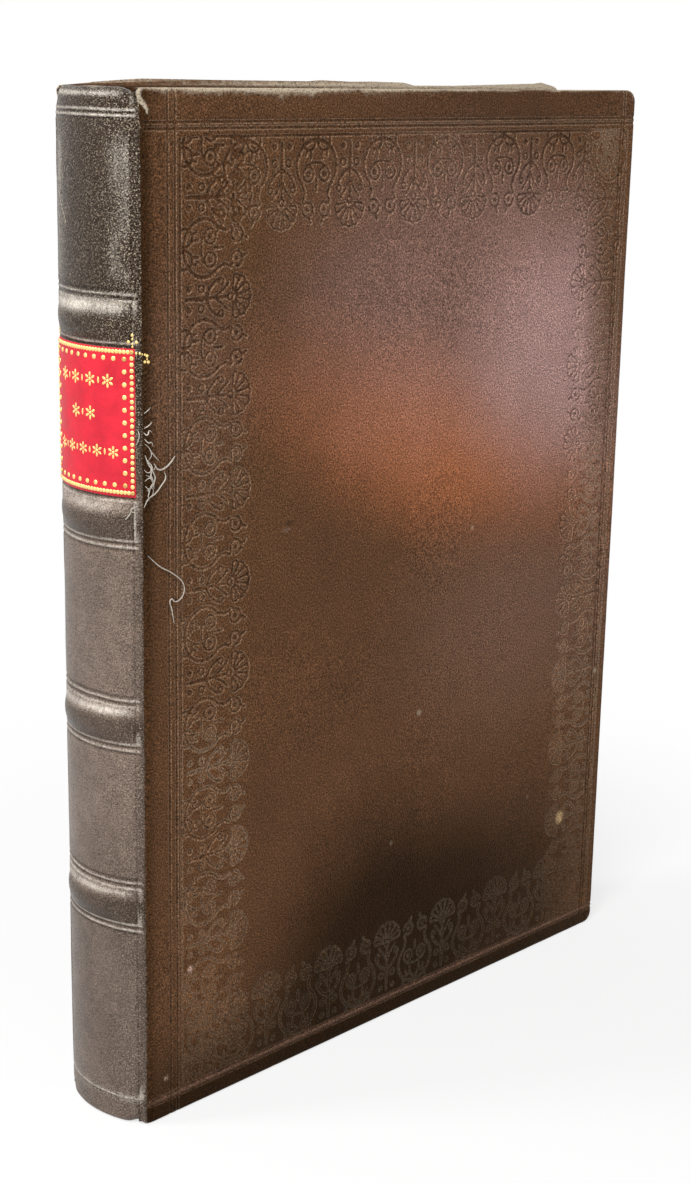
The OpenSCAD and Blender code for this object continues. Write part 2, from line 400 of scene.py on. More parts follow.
def outer_section(u):
    """Section with the joint's fold eased over the width of its crease."""
    u = np.asarray(u, float)
    shifts = np.linspace(-CREASE_SPAN, CREASE_SPAN, 17)
    return sum(arc_point(u + shift) for shift in shifts) / len(shifts)


def outer_normal(u):
    """Outward normal of the section, away from the pages."""
    step = 0.05
    along = outer_section(u + step) - outer_section(u - step)
    along /= np.linalg.norm(along, axis=-1, keepdims=True)
    return np.stack([along[..., 1], -along[..., 0]], -1)


def notch_place(near):
    """Distance of the hollow's middle from the joint, by the distance from head or tail."""
    return 3.3 * smooth(near, 0, NOTCH_H) - 3.0


def notch_depth(u, z):
    """Hollow where cap and cover are nipped in at the head and tail of a joint."""
    depth = 0
    for end, size in ((COVER_H, 1.0), (0.0, 0.35)):
        near = np.abs(end - z)
        across = (u - notch_place(near)) / 1.5
        depth = depth + size * NOTCH_D * (1 - smooth(near, 0, NOTCH_H)) * np.exp(-across**2)
    return depth


def groove(distance, half_width):
    """Depth from 0 to 1 across a pressed line."""
    return np.clip(1 - (distance / half_width) ** 2, 0, 1) ** 2


# Blind tooling

FILLETS_HEAD = (6.8, 8.1)
FILLETS_JOINT = (7.2, 9.2)
FILLETS_FORE = (4.6, 5.7)
FILLETS_TAIL = (4.4, 5.6)
ROLL_W = 20.3
ROLL_JOINT_X = 10.6
ROLL_FORE_X = 162.0
ROLL_HEAD_Z = 221.2
ROLL_TAIL_Z = 5.7
# A fan of each roll is centred here, down the joint, head, fore-edge and tail
FAN_JOINT_Z = 187.9
FAN_HEAD_X = 39.5
FAN_FORE_Z = 183.1
FAN_TAIL_X = 58.3
CELL_STEP = 0.1
STROKE_SPREAD = 1.2


def curve_points(centre, radius, start, end, count=18):
    """Arc of an ellipse from start to end degrees, measured from the cover's edge side."""
    angle = np.radians(np.linspace(start, end, count))
    rx, ry = (radius, radius) if np.isscalar(radius) else radius
    return np.stack([centre[0] + rx * np.sin(angle), centre[1] - ry * np.cos(angle)], 1)


def roll_strokes(half):
    """Lines of half a repeat: across it from the loop's axis, and in from the outer line."""
    fan = half
    strokes = [
        (curve_points((0, 6.6), (6.1, 5.6), -20, 138), 0.62),
        ([(4.1, 10.8), (3.5, 12.9), (4.2, 14.3)], 0.55),
        (curve_points((2.45, 8.4), 1.6, 0, 360), 0.42),
        (curve_points((2.45, 8.4), 0.45, 0, 360, 10), 0.42),
        (curve_points((2.3, 1.3), (1.9, 2.0), 70, 290), 0.5),
        ([(1.7, 3.3), (1.8, 5.0)], 0.5),
        ([(3.0, 3.1), (3.3, 4.5)], 0.45),
        ([(0, 5.9), (1.6, 6.0), (3.1, 6.5)], 0.42),
        ([(0, 9.6), (0, 12.0)], 0.5),
        (curve_points((2.6, 16.0), 1.6, 90, 400), 0.5),
        (curve_points((2.6, 16.0), 0.35, 0, 360, 8), 0.4),
        ([(2.2, 17.7), (1.6, 18.9)], 0.5),
        ([(fan, 1.6), (fan - 0.2, 6), (fan, 9), (fan, 12.9)], 0.55),
        (curve_points((fan - 2.1, 5.9), 0.8, 0, 360, 12), 0.38),
        (curve_points((fan - 2.2, 2.4), 0.45, 0, 360, 10), 0.5),
        ([(fan - 0.5, 7.4), (fan - 2.1, 8.3), (fan - 3.5, 10.0), (fan - 4.0, 11.2)], 0.58),
        (curve_points((fan - 3.4, 11.6), 0.7, 0, 360, 12), 0.4),
        ([(fan - 0.4, 10.2), (fan - 1.6, 12.2), (fan - 2.9, 13.6)], 0.45),
        (curve_points((fan, 14.2), 0.75, 0, 360, 12), 0.45),
    ]
    centre = np.array((fan, 14.7))
    turns = np.radians((-12, -36, -60, -84))
    for turn in turns:
        reach = 5.3 - 0.8 * (turn / turns[-1]) ** 2
        way = np.array((math.sin(turn), math.cos(turn)))
        strokes.append(([centre + 1.3 * way, centre + reach * way], 0.42))
    for turn in np.radians((0, -24, -48, -72)):
        reach = 5.0 - 0.8 * (turn / turns[-1]) ** 2
        way = np.array((math.sin(turn), math.cos(turn)))
        rim = curve_points(centre + (reach - 0.6) * way, 1.05, 90, 270, 9)
        spin = np.array(((math.cos(turn), math.sin(turn)), (-math.sin(turn), math.cos(turn))))
        middle = centre + (reach - 0.6) * way
        strokes.append(((rim - middle) @ spin.T + middle, 0.4))
    return strokes


def segment_distance(x, y, start, end):
    """Distance of each point of a grid to a straight segment."""
    dx, dy = end[0] - start[0], end[1] - start[1]
    length = dx * dx + dy * dy
    t = np.clip(((x - start[0]) * dx + (y - start[1]) * dy) / max(length, 1e-9), 0, 1)
    return np.hypot(x - start[0] - t * dx, y - start[1] - t * dy)


def roll_cell(repeat):
    """Depth map of half a repeat of the roll, from the loop's axis to the fan's."""
    half = repeat / 2
    x, y = np.meshgrid(np.arange(0, half + CELL_STEP, CELL_STEP),
                       np.arange(-1, ROLL_W + 1, CELL_STEP), indexing="ij")
    depth = groove(y, 0.5)
    for points, half_width in roll_strokes(half):
        for start, end in zip(points[:-1], points[1:]):
            for sign, shift in ((1, 0), (-1, 0), (-1, 2 * half)):
                a = (sign * start[0] + shift, start[1])
                b = (sign * end[0] + shift, end[1])
                near = segment_distance(x, y, a, b)
                depth = np.maximum(depth, groove(near, STROKE_SPREAD * half_width))
    return depth


def blurred_cell(cell, size):
    """Map of a cell softened over a size in millimetres."""
    count = int(2 * size / CELL_STEP)
    reach = np.arange(-count, count + 1) * CELL_STEP
    weights = np.exp(-(reach / size) ** 2)
    weights /= weights.sum()
    for axis in (0, 1):
        margin = [(count, count) if k == axis else (0, 0) for k in (0, 1)]
        cell = np.apply_along_axis(np.convolve, axis, np.pad(cell, margin, "reflect"), weights,
                                   "valid")
    return cell


def roll_depth(cell, repeat, along, inward):
    """Depth of the roll: along is measured from a fan, and inward from the outer line."""
    from_fan = np.abs((along + repeat / 2) % repeat - repeat / 2)
    i = np.clip((repeat / 2 - from_fan) / CELL_STEP, 0, cell.shape[0] - 1.001)
    j = (inward + 1) / CELL_STEP
    inside = (j > 0) & (j < cell.shape[1] - 1.001)
    j = np.clip(j, 0, cell.shape[1] - 1.001)
    i0, j0 = i.astype(int), j.astype(int)
    fi, fj = i - i0, j - j0
    near = cell[i0, j0] * (1 - fj) + cell[i0, j0 + 1] * fj
    far = cell[i0 + 1, j0] * (1 - fj) + cell[i0 + 1, j0 + 1] * fj
    return np.where(inside, near * (1 - fi) + far * fi, 0)


def roll_border(x, z, cell, repeat):
    """Map of a cell repeated round the cover's border."""
    sides = (
        (z - FAN_JOINT_Z, x - ROLL_JOINT_X, (z > ROLL_TAIL_Z) & (z < ROLL_HEAD_Z)),
        (x - FAN_HEAD_X, ROLL_HEAD_Z - z, (x > ROLL_JOINT_X + 9) & (x < ROLL_FORE_X)),
        (z - FAN_FORE_Z, ROLL_FORE_X - x, (z > ROLL_TAIL_Z) & (z < ROLL_HEAD_Z)),
        (x - FAN_TAIL_X, z - ROLL_TAIL_Z, (x > ROLL_JOINT_X) & (x < ROLL_FORE_X)),
    )
    roll = np.zeros_like(x)
    for along, inward, inside in sides:
        roll = np.maximum(roll, np.where(inside, roll_depth(cell, repeat, along, inward), 0))
    return roll


def cover_tooling(x, z, tooling):
    """Depths from 0 to 1 of a cover's roll and of its straight lines."""
    repeat = tooling.roll_repeat / MM
    roll = roll_border(x, z, roll_cell(repeat), repeat)
    rubbed = 0.78 + 0.3 * value_noise(x, z, 17, 11) - 0.25 * smooth(x, 135, 165)
    rubbed *= 0.5 + 0.5 * smooth(z, 40, 150)
    lines = np.zeros_like(x)
    for edge, offsets in ((COVER_H - z, FILLETS_HEAD), (x, FILLETS_JOINT),
                          (COVER_W - x, FILLETS_FORE), (z, FILLETS_TAIL)):
        for offset in offsets:
            lines = np.maximum(lines, groove(edge - offset, 0.5))
    lines *= 0.85 + 0.15 * value_noise(x, z, 9, 12)
    return np.clip(roll * rubbed, 0, 1), np.clip(lines, 0, 1) * smooth(x, 0.5, 2.0)


SPINE_FILLETS = (5.0, 6.4)
HEAD_FILLETS = (5.0, 6.2)
TAIL_FILLET = 5.9
# Ridges between and beside those lines
SPINE_RIDGES = (4.3, 5.7)
HEAD_RIDGES = (4.4, 5.6)
TAIL_RIDGE = TAIL_FILLET + 0.7


def across_spine(u, z, by_band, by_head, tail, half_width, fade):
    """Height from 0 to 1 of lines across the spine: beside the bands, at head and at tail."""
    places = [band + side * offset for band in BAND_Z for side in (-1, 1) for offset in by_band]
    places += [COVER_H - offset for offset in by_head] + [tail]
    wander = 0.12 * value_noise(u, z, 6, 21)
    lines = np.zeros(np.broadcast(u, z).shape)
    for place in places:
        lines = np.maximum(lines, groove(z + wander - place, half_width))
    return lines * (1 - smooth(u, *fade))


def spine_lines(u, z):
    """Depth from 0 to 1 of the lines across the spine."""
    return across_spine(u, z, SPINE_FILLETS, HEAD_FILLETS, TAIL_FILLET, 0.5, (-1.2, -0.2))


def spine_ridges(u, z):
    """Leather raised between and beside the lines across the spine, where a highlight is painted,
    with rubbing.
    """
    return across_spine(u, z, SPINE_RIDGES, HEAD_RIDGES, TAIL_RIDGE, 0.45, (-1.4, -0.4))


# How far a raised band swells the leather to each side of its middle
BAND_REACH = 4.9


def band_height(u, z):
    """Height of the raised bands over the spine, by distance from the front joint."""
    off_centre = np.clip(-u - HALF_ARC, -HALF_ARC, HALF_ARC)
    angle = np.abs(off_centre) / SPINE_R
    across = np.minimum(SPINE_R * np.sin(angle), -FACE_Y)
    crest = CREST_X - np.sqrt(CREST_R**2 - across**2)
    rise = (SPINE_X - SPINE_R * np.cos(angle) - crest) * np.cos(angle)
    rise = rise * smooth(HALF_ARC - np.abs(off_centre), 1.6, 5.0)
    height = 0
    for band in BAND_Z:
        near = np.clip(1 - ((z - band) / BAND_REACH) ** 2, 0, 1)
        height = height + rise * near**1.45
    return height


# Leather of the covers

FRONT_SEED, BACK_SEED = 81, 91
EDGE_STEPS = np.array((0, 0.015, 0.05, 0.12, 0.22, 0.35, 0.5, 0.7, 0.9, 1.2))
WALL_X = 0.35


def rim_depth(distance):
    """How far a face has rounded off at a distance from its outline."""
    short = np.clip(EDGE_R - distance, 0, EDGE_R)
    return EDGE_R - np.sqrt(EDGE_R**2 - short**2)


def corner_x(x, z):
    """Moves the columns near the fore-edge so that the outline's corners are round."""
    into = np.clip(CORNER_R - np.minimum(z, COVER_H - z), 0, CORNER_R)
    reach = COVER_W - CORNER_R + np.sqrt(CORNER_R**2 - into**2)
    start = COVER_W - 2 * CORNER_R
    return np.where(x > start, start + (x - start) * (reach - start) / (COVER_W - start), x)


def outline_distance(x, z):
    """Distance in from a cover's head, tail and fore-edge, with its corners round."""
    to_end = np.minimum(z, COVER_H - z)
    to_fore = COVER_W - x
    in_corner = (to_end < CORNER_R) & (to_fore < CORNER_R)
    round_off = CORNER_R - np.hypot(CORNER_R - to_end, CORNER_R - to_fore)
    return np.clip(np.where(in_corner, round_off, np.minimum(to_end, to_fore)), 0, None)


def end_shift(u, z):
    """How far head and tail edges dip where they are nipped in at the joint."""
    hollow = 1.1 * np.exp(-((u + 2.3) / 1.7) ** 2)
    return hollow * (0.6 * smooth(3.0 - z, 0, 3.0) - smooth(z, COVER_H - 3.0, COVER_H))


def cover_relief(u, z, tooling):
    """Depth below the plain surface of everything pressed or worn into a cover."""
    roll, lines = cover_tooling(u, z, tooling)
    depth = tooling.roll_depth / MM * roll + tooling.fillet_depth / MM * lines
    depth += tooling.fillet_depth / MM * spine_lines(u, z) * (u < 0)
    depth += 0.10 * value_noise(u, z, 31, 31) + 0.03 * value_noise(u, z, 5, 32)
    crease = 0.22 * np.exp(-((u - 0.9) / 0.55) ** 2)
    tucked = 0.3 * smooth(-u, 1.75, FLAP_W)
    return depth + crease + tucked + notch_depth(u, z)


def cover_leather_mesh(tooling):
    """Closed leather of the front cover with its flap over the joint."""
    step = tooling.grid_step / MM
    middle = np.arange(2.6, COVER_W - 1.2, step)
    u = np.concatenate([np.arange(-FLAP_W, 2.5, 0.2), middle, COVER_W - EDGE_STEPS[::-1]])
    z = np.concatenate([EDGE_STEPS, np.arange(1.2 + step, COVER_H - 1.2, step),
                        COVER_H - EDGE_STEPS[::-1]])
    columns, rows = len(u), len(z)
    grid_u, grid_z = np.meshgrid(u, z, indexing="ij")
    face_x = corner_x(grid_u, grid_z)
    depth = rim_depth(outline_distance(face_x, grid_z))
    depth += cover_relief(face_x, grid_z, tooling) * smooth(depth, EDGE_R, 0)
    base, normal = outer_section(u)[:, None, :], outer_normal(u)[:, None, :]
    plan = base - normal * depth[..., None]
    plan = plan + np.stack([face_x - grid_u, np.zeros_like(face_x)], -1)
    height = grid_z + end_shift(grid_u, grid_z)
    points = np.concatenate([plan, height[..., None]], -1).reshape(-1, 3)
    quads = [grid_quads(columns, rows)[:, ::-1]]

    # Rings carry the rim round to the inner face
    ring = rim_loop(columns, rows)
    ring_u, ring_z = u[ring[:, 0]], z[ring[:, 1]]
    ring_x = corner_x(ring_u, ring_z)
    at_joint = ring[:, 0] == 0
    on_flap = ring_u < WALL_X
    towards_x = np.clip(COVER_W - CORNER_R - ring_x, None, 0)
    towards_z = np.clip(CORNER_R - ring_z, 0, None)
    towards_z = towards_z + np.clip(COVER_H - CORNER_R - ring_z, None, 0)
    length = np.maximum(np.hypot(towards_x, towards_z), 1e-6)
    towards_x, towards_z = towards_x / length, towards_z / length
    under = np.where(at_joint, 0.35, LEATHER_T)
    flap = outer_section(ring_u) - outer_normal(ring_u) * under[:, None]
    ring_height = ring_z + end_shift(ring_u, ring_z)
    rings = [np.arange(columns * rows).reshape(columns, rows)[ring[:, 0], ring[:, 1]]]
    insets = (0.0, 0.0, 0.12, 0.35, 0.6, 0.9, 2.5)
    for count, inset in enumerate(insets):
        x = ring_x + towards_x * inset
        level = CLAD_T - rim_depth(inset) if count else CLAD_T - EDGE_R
        wall = LEATHER_T if count == 1 else level
        high = np.clip(ring_height + towards_z * inset, inset, COVER_H - inset)
        spot = np.stack([JOINT_X + np.where(on_flap, WALL_X, x),
                         FACE_Y + np.where(on_flap, wall, level), high], -1)
        if count == 0:
            spot[on_flap, :2] = flap[on_flap]
            spot[on_flap, 2] = ring_height[on_flap]
        rings.append(len(points) + np.arange(len(ring)))
        points = np.concatenate([points, spot])
    for outer, inner in zip(rings[:-1], rings[1:]):
        quads.append(np.stack([outer, inner, np.roll(inner, -1), np.roll(outer, -1)], 1)[:, ::-1])
    mesh = mesh_from_arrays("front_cover_leather", points, np.concatenate(quads))
    close_and_thin(mesh, tooling.triangles)
    return mesh


def swell_corner(mesh):
    """Swells the head corner of a cover where its board has been knocked."""
    co = point_array(mesh)
    x, z = co[:, 0] - JOINT_X, co[:, 2]
    swollen = np.exp(-((x - 157) / 5.0) ** 2) * (1.3 + 0.4 * value_noise(x, z, 2.4, 95))
    puckered = (1.1 + 0.4 * value_noise(x, z, 11, 96)) * smooth(x, 3, 12)
    puckered *= 1 - smooth(x, 106, 116)
    worn_down = 1.4 * smooth(x, 104, 118) * (1 - smooth(x, 144, 151))
    co[:, 2] += (swollen + puckered - worn_down) * smooth(z, COVER_H - 5, COVER_H - 0.5)
    mesh.vertices.foreach_set("co", (co * MM).astype(np.float32).ravel())


def lip_wear_and_highlight(u, z):
    """Painted highlight, with rubbing, on the lip of a cover beside the nipped corner at the head.
    """
    near = np.abs(COVER_H - z)
    across = (u - notch_place(near)) / 1.5
    wide = 0.35 + 0.6 * (1 - smooth(near, 0.0, 4.5))
    lips = np.exp(-((across - 1.35) / wide) ** 2)
    return 1.3 * lips * (1 - smooth(near, 4.0, 7.0))


def dress_cover(mesh, tooling, seed):
    """Stores a cover's tooling, wear with a painted highlight at the head's lip, painted gleam and
    shade, and place on its points.
    """
    co = point_array(mesh)
    x, y, z = co[:, 0] - JOINT_X, np.abs(co[:, 1]), co[:, 2]
    on_face = smooth(y, -FACE_Y - 1.2, -FACE_Y - 0.6)
    roll, lines = cover_tooling(x, z, tooling)
    set_attribute(mesh, "tooling", np.maximum(roll, lines) * on_face)
    repeat = tooling.roll_repeat / MM
    cell = roll_cell(repeat)
    among = smooth(blurred_cell(cell, 0.6), 0.16, 0.42) * (1 - smooth(cell, 0.1, 0.5))
    islands = roll_border(x, z, among, repeat)
    density = roll_border(x, z, blurred_cell(cell, 1.2), repeat)
    set_attribute(mesh, "density", smooth(density, 0.05, 0.3) * on_face)
    lower = 0.35 + 0.65 * (1 - smooth(z, 60, 170))
    patchy = 0.6 + 0.5 * value_noise(x, z, 11, seed + 4)
    lower = lower * (1 - smooth(x, 115, 145) * smooth(z, 120, 190))
    set_attribute(mesh, "islands", np.clip(islands * lower * patchy * on_face, 0, 1))
    edge = np.minimum(outline_distance(x, z), 8)
    on_arris = 0.3 + 0.7 * smooth(y, -FACE_Y - 1.6, -FACE_Y - 0.5)
    rubbed = np.exp(-edge / 0.55) * (0.55 + 0.4 * value_noise(x, z, 7, seed)) * on_arris
    rubbed += np.exp(-edge / 1.6) * 0.3 * smooth(value_noise(x, z, 2.2, seed + 1), 0.1, 0.8)
    head = np.exp(-((COVER_H - z) / 2.1) ** 2) * smooth(x, 1.5, 4)
    head *= (0.6 if seed == BACK_SEED else 0.85) * on_arris * (1 - 0.7 * smooth(x, 30, 120))
    rubbed += head * (0.55 + 0.25 * value_noise(x, z, 3, seed + 2))
    scuffed = smooth(x, -2.0, -1.2) * (1 - smooth(x, 0.0, 0.8))
    scuffed = scuffed * smooth(z, 150, 154) * (1 - smooth(z, 168, 174))
    rubbed += 0.8 * scuffed * smooth(value_noise(x, z, 1.1, seed + 3), 0.1, 0.7)
    corner = np.hypot(COVER_W - x, np.minimum(z, COVER_H - z))
    rubbed += 0.45 * np.exp(-(corner / 3.4) ** 2)
    rubbed += 0.75 * lip_wear_and_highlight(x, z) * on_face
    if seed == BACK_SEED:
        knocked = np.exp(-((x - 160) / 3.0) ** 2) * smooth(z, COVER_H - 2.5, COVER_H - 0.5)
        rubbed += 1.3 * knocked
    set_attribute(mesh, "wear", np.clip(rubbed, 0, 1))
    round_spine = SPINE_R * np.arctan2(y, SPINE_X - co[:, 0]) - HALF_ARC
    near = np.where(x < 0, np.minimum(round_spine, 0), x)
    store_gleam(mesh, near, near, z)
    store_place(mesh)


# Leather of the spine

def spine_section(u):
    """Section and outward normal right across the spine, from the front joint."""
    mirrored = u < -HALF_ARC
    near = np.where(mirrored, -2 * HALF_ARC - u, u)
    flip = np.stack([np.ones_like(near), np.where(mirrored, -1, 1)], -1)
    return outer_section(near) * flip, outer_normal(near) * flip, near


def spine_heights():
    """Heights of the rows up the spine, close together at bands, lines and caps."""
    z = CAP_R
    heights = []
    while z < COVER_H - CAP_R:
        heights.append(z)
        at_band = min(abs(z - band) for band in BAND_Z) < 7.4
        at_end = min(z, COVER_H - z) < 7.4
        z += 0.22 if at_band or at_end else 0.8
    return np.array(heights + [COVER_H - CAP_R])


def spine_leather_mesh(tooling):
    """Closed leather of the spine: outer wall, caps turned in, and inner wall."""
    edge = 1.8
    u = np.linspace(-2 * HALF_ARC + edge, -edge, 108)
    base, normal, near = spine_section(u)
    turn = np.radians(np.linspace(90, 0, 9))[1:-1]
    quarter = [(CAP_R * (math.cos(t) - 1), CAP_R * (1 - math.sin(t))) for t in turn]
    cap = [(-CAP_REACH, LEATHER_T), (-CAP_REACH, 0.4), (1 - CAP_REACH - 0.8, 0.1),
           (0.6 - CAP_REACH, 0.0), (-1.8, 0.0), (-CAP_R, 0.0)]
    tail = cap + quarter
    wall = [(0.0, z) for z in spine_heights()]
    head = [(r, COVER_H - z) for r, z in reversed(tail)]
    inner = [(-LEATHER_T, z) for z in np.linspace(COVER_H - LEATHER_T, LEATHER_T, 60)]
    loop = np.array(tail + wall + head + inner)
    outside = len(tail + wall + head)
    grid_u, reach = np.meshgrid(u, loop[:, 0], indexing="ij")
    near_u, z = np.meshgrid(near, loop[:, 1], indexing="ij")
    is_outside = (np.arange(len(loop)) < outside)[None, :]
    on_wall = smooth(reach, -CAP_R, 0)
    rise = band_height(grid_u, z) * on_wall
    rise -= tooling.fillet_depth / MM * spine_lines(near_u, z) * on_wall
    rise += 0.07 * value_noise(grid_u, z, 13, 41) + 0.03 * value_noise(grid_u, z, 3.1, 42)
    rise -= notch_depth(near_u, z)
    rise -= 0.4 * smooth(near_u, -edge - 0.45, -edge)
    rise = np.where(is_outside, rise, np.minimum(rise, 0))
    offset = reach + rise
    plan = base[:, None, :] + normal[:, None, :] * offset[..., None]
    height = z + end_shift(near_u, z)
    uneven = 0.22 * value_noise(grid_u, z, 4.5, 43)
    height += uneven * smooth(z, COVER_H - 3, COVER_H)
    return lofted("spine_leather_skin", np.concatenate([plan, height[..., None]], -1))


# Width and strength of the painted gleam on each band's shoulder, from the lowest band
BAND_GLEAMS = ((0.65, 0.75), (0.85, 0.95), (1.2, 0.55), (1.3, 1.2))


def store_gleam(mesh, u, near, z):
    """Stores painted highlights on the spine's bands, lines and cap, painted shade under the bands,
    and painted shade that grows towards the joint.
    """
    shine, belly = 0, 0
    for band, (width, level) in zip(BAND_Z, BAND_GLEAMS):
        off = z - band
        shoulder = np.exp(-((off - 3.1) / width) ** 2) * (1 - smooth(near, -5.5, -1.2))
        shine = shine + level * shoulder * (0.8 + 0.4 * value_noise(u, z, 5, 51))
        belly = belly + smooth(off, -5.2, -3.4) * (1 - smooth(off, 0.6, 2.6))
    # Painted highlight, with rubbing, on the raised leather beside the lines
    ridge_highlight = spine_ridges(near, z) * (0.8 + 0.3 * value_noise(u, z, 7, 53))
    shine = np.maximum(shine, (0.75 + 0.25 * smooth(z, COVER_H - 12, COVER_H - 8)) * ridge_highlight)
    # Painted highlight beside the tail's line
    tail = np.exp(-((z - TAIL_FILLET - 0.5) / 0.9) ** 2) * (1 - smooth(near, -2.0, -0.4))
    shine = np.maximum(shine, (0.3 + 0.25 * smooth(near, -9, -3)) * tail)
    # Painted sheen in streaks on the top panel, towards the joint
    panel = smooth(z, BAND_Z[-1] + 7, BAND_Z[-1] + 10) * (1 - smooth(z, COVER_H - 12, COVER_H - 7))
    glance = panel * smooth(near, -8.5, -5.0) * (1 - smooth(near, -3.2, -1.6))
    shine = np.maximum(shine, 0.3 * glance * (0.6 + 0.7 * value_noise(u * 3, z, 9, 54)))
    # Painted highlight along the cap's rounded top
    lip = 0.8 * np.exp(-((COVER_H - z - 1.3) / 0.5) ** 2) * (1 - smooth(near, -6.0, -3.0))
    shine = np.maximum(shine, lip)
    set_attribute(mesh, "shine", np.clip(shine, 0, 1))
    set_attribute(mesh, "belly", np.clip(belly, 0, 1))
    # Painted shade along the joint, and where the bands end beside it
    edge = 0.45 * smooth(near, -3.2, -0.4) + 0.55 * smooth(near, -0.6, 0.3)
    edge = np.minimum(edge + 0.5 * np.clip(belly, 0, 1) * smooth(near, -2.8, -1.4), 1)
    set_attribute(mesh, "joint", edge * (1 - smooth(near, 1.1, 4.0)))


def dress_spine(mesh):
    """Stores the spine's tooling, wear with a painted highlight at the head's lip, painted gleam and
    shade, and place on its points.
    """
    co = point_array(mesh)
    z = co[:, 2]
    angle = np.arctan2(-co[:, 1], SPINE_X - co[:, 0])
    u = SPINE_R * angle - HALF_ARC
    near = np.where(u < -HALF_ARC, -2 * HALF_ARC - u, u)
    set_attribute(mesh, "tooling", spine_lines(near, z))
    store_gleam(mesh, u, near, z)
    ends = np.exp(-np.minimum(z, COVER_H - z) / 0.5)
    wear = ends * (0.45 + 0.5 * value_noise(u, z, 3.7, 52)) + 0.7 * lip_wear_and_highlight(near, z)
    scratch = segment_distance(u, z, (-25.5, 210.5), (-21.0, 203.5))
    wear += 0.9 * (scratch < 0.2)
    set_attribute(mesh, "wear", np.clip(wear, 0, 1))
    store_place(mesh)


# Title label

def label_point(u, z, lift=0.0):
    """Point on the label's face: u is the distance from the spine's middle to the front."""
    radius = SPINE_R + LABEL_T
    angle = np.asarray(u, float) / radius
    r = radius + lift
    return np.stack(np.broadcast_arrays(SPINE_X - r * np.cos(angle), -r * np.sin(angle), z), -1)


LABEL_HALF = (SPINE_R + LABEL_T) * math.asin(LABEL_HIGH[1] / (SPINE_R + LABEL_T))
LABEL_Z = (float(LABEL_LOW[2]), float(LABEL_HIGH[2]))


def label_mesh():
    """Pared label with thinned edges, following the spine."""
    steps = np.array((0, 0.08, 0.2, 0.4, 0.7))
    u = np.concatenate([steps - LABEL_HALF, np.linspace(1.1 - LABEL_HALF, LABEL_HALF - 1.1, 70),
                        LABEL_HALF - steps[::-1]])
    z = np.concatenate([LABEL_Z[0] + steps, np.linspace(LABEL_Z[0] + 1.1, LABEL_Z[1] - 1.1, 80),
                        LABEL_Z[1] - steps[::-1]])
    grid_u, grid_z = np.meshgrid(u, z, indexing="ij")
    inset = np.minimum(LABEL_HALF - np.abs(grid_u),
                       np.minimum(grid_z - LABEL_Z[0], LABEL_Z[1] - grid_z))
    lift = -0.22 * (1 - smooth(inset, 0, 0.7)) + 0.025 * value_noise(grid_u, grid_z, 2.7, 61)
    return closed_sheet("title_label_leather", label_point(grid_u, grid_z, lift),
                        label_point(grid_u, grid_z, -LABEL_T - 0.12))


def domes_mesh(name, domes, surface, flat=0.32):
    """Low domes of gold on a surface: each is (u, z, half length, half width, turn)."""
    rings, sides = 3, 12
    points, quads, triangles = [], [], []
    for u, z, long, wide, turn in domes:
        first = len(points)
        for ring in range(rings):
            tilt = math.radians(ring * 84 / (rings - 1) - 6)
            for side in range(sides):
                way = 2 * math.pi * side / sides
                a = long * math.cos(tilt) * math.cos(way)
                b = wide * math.cos(tilt) * math.sin(way)
                across = a * math.cos(turn) - b * math.sin(turn)
                up = a * math.sin(turn) + b * math.cos(turn)
                lift = flat * min(long, wide) * math.sin(tilt)
                points.append(surface(u + across, z + up, lift))
        for ring in range(rings - 1):
            for side in range(sides):
                a = first + ring * sides + side
                b = first + ring * sides + (side + 1) % sides
                quads.append((a, b, b + sides, a + sides))
        low = [first + side for side in range(sides)]
        high = [first + (rings - 1) * sides + side for side in range(sides)]
        for loop in (low, high):
            triangles += [(loop[0], loop[k], loop[k + 1]) for k in range(1, sides - 1)]
    return outward(mesh_from_arrays(name, np.array(points), quads, triangles))


def spine_point(u, z, lift):
    """Point over the spine's leather: u is the distance from the spine's middle to the front."""
    angle = u / SPINE_R
    r = SPINE_R + lift + float(band_height(np.array(u - HALF_ARC), z))
    return SPINE_X - r * math.cos(angle), -r * math.sin(angle), z


def cover_point(u, z, lift):
    """Point over the leather near the front joint: u is the distance from it."""
    plan = outer_section(np.array(u)) + outer_normal(np.array(u)) * lift
    return plan[0], plan[1], z


def floret(u, z, size):
    """Six petals round a seed."""
    domes = [(u, z, 0.26 * size, 0.26 * size, 0)]
    for k in range(6):
        way = math.pi * (k / 3 + 1 / 6)
        domes.append((u + 0.62 * size * math.cos(way), z + 0.62 * size * math.sin(way),
                      0.36 * size, 0.2 * size, way))
    return domes


def sprig(u, z, turn):
    """Berries on a short stem, at a corner of the label."""
    domes = []
    for ahead, aside, radius in ((0.7, 0, 0.24), (1.3, 0, 0.26), (1.7, -0.85, 0.36),
                                 (1.7, 0.85, 0.36), (2.3, 0, 0.3), (3.1, 0, 0.38)):
        across = ahead * math.cos(turn) - aside * math.sin(turn)
        up = ahead * math.sin(turn) + aside * math.cos(turn)
        domes.append((u + across, z + up, radius, radius, 0))
    return domes


def gilt_tools():
    """Rows of florets on the label, where a title would stand."""
    high = LABEL_Z[1]
    domes = []
    for z, places, size in ((high - 7.0, (-7.2, -2.4, 2.4, 7.2), 1.6),
                            (high - 14.2, (-2.4, 2.4), 1.6),
                            (high - 22.0, (-8.4, -4.2, 0.0, 4.2, 8.4), 1.45)):
        for u in places:
            domes += floret(u, z, size)
        for left, right in zip(places[:-1], places[1:]):
            domes.append(((left + right) / 2, z, 0.28, 0.75, 0))
    return domes


# Tools that ran over the label's corner onto the joint: distance from the joint, height
# over the row at the label's head, and radius
JOINT_TOOLS = ((0.2, -0.2, 0.26), (0.9, -0.3, 0.28), (1.5, -0.6, 0.4), (1.8, -1.9, 0.42),
               (0.9, -1.8, 0.36), (1.5, -1.3, 0.24))


# Leaves and endpapers

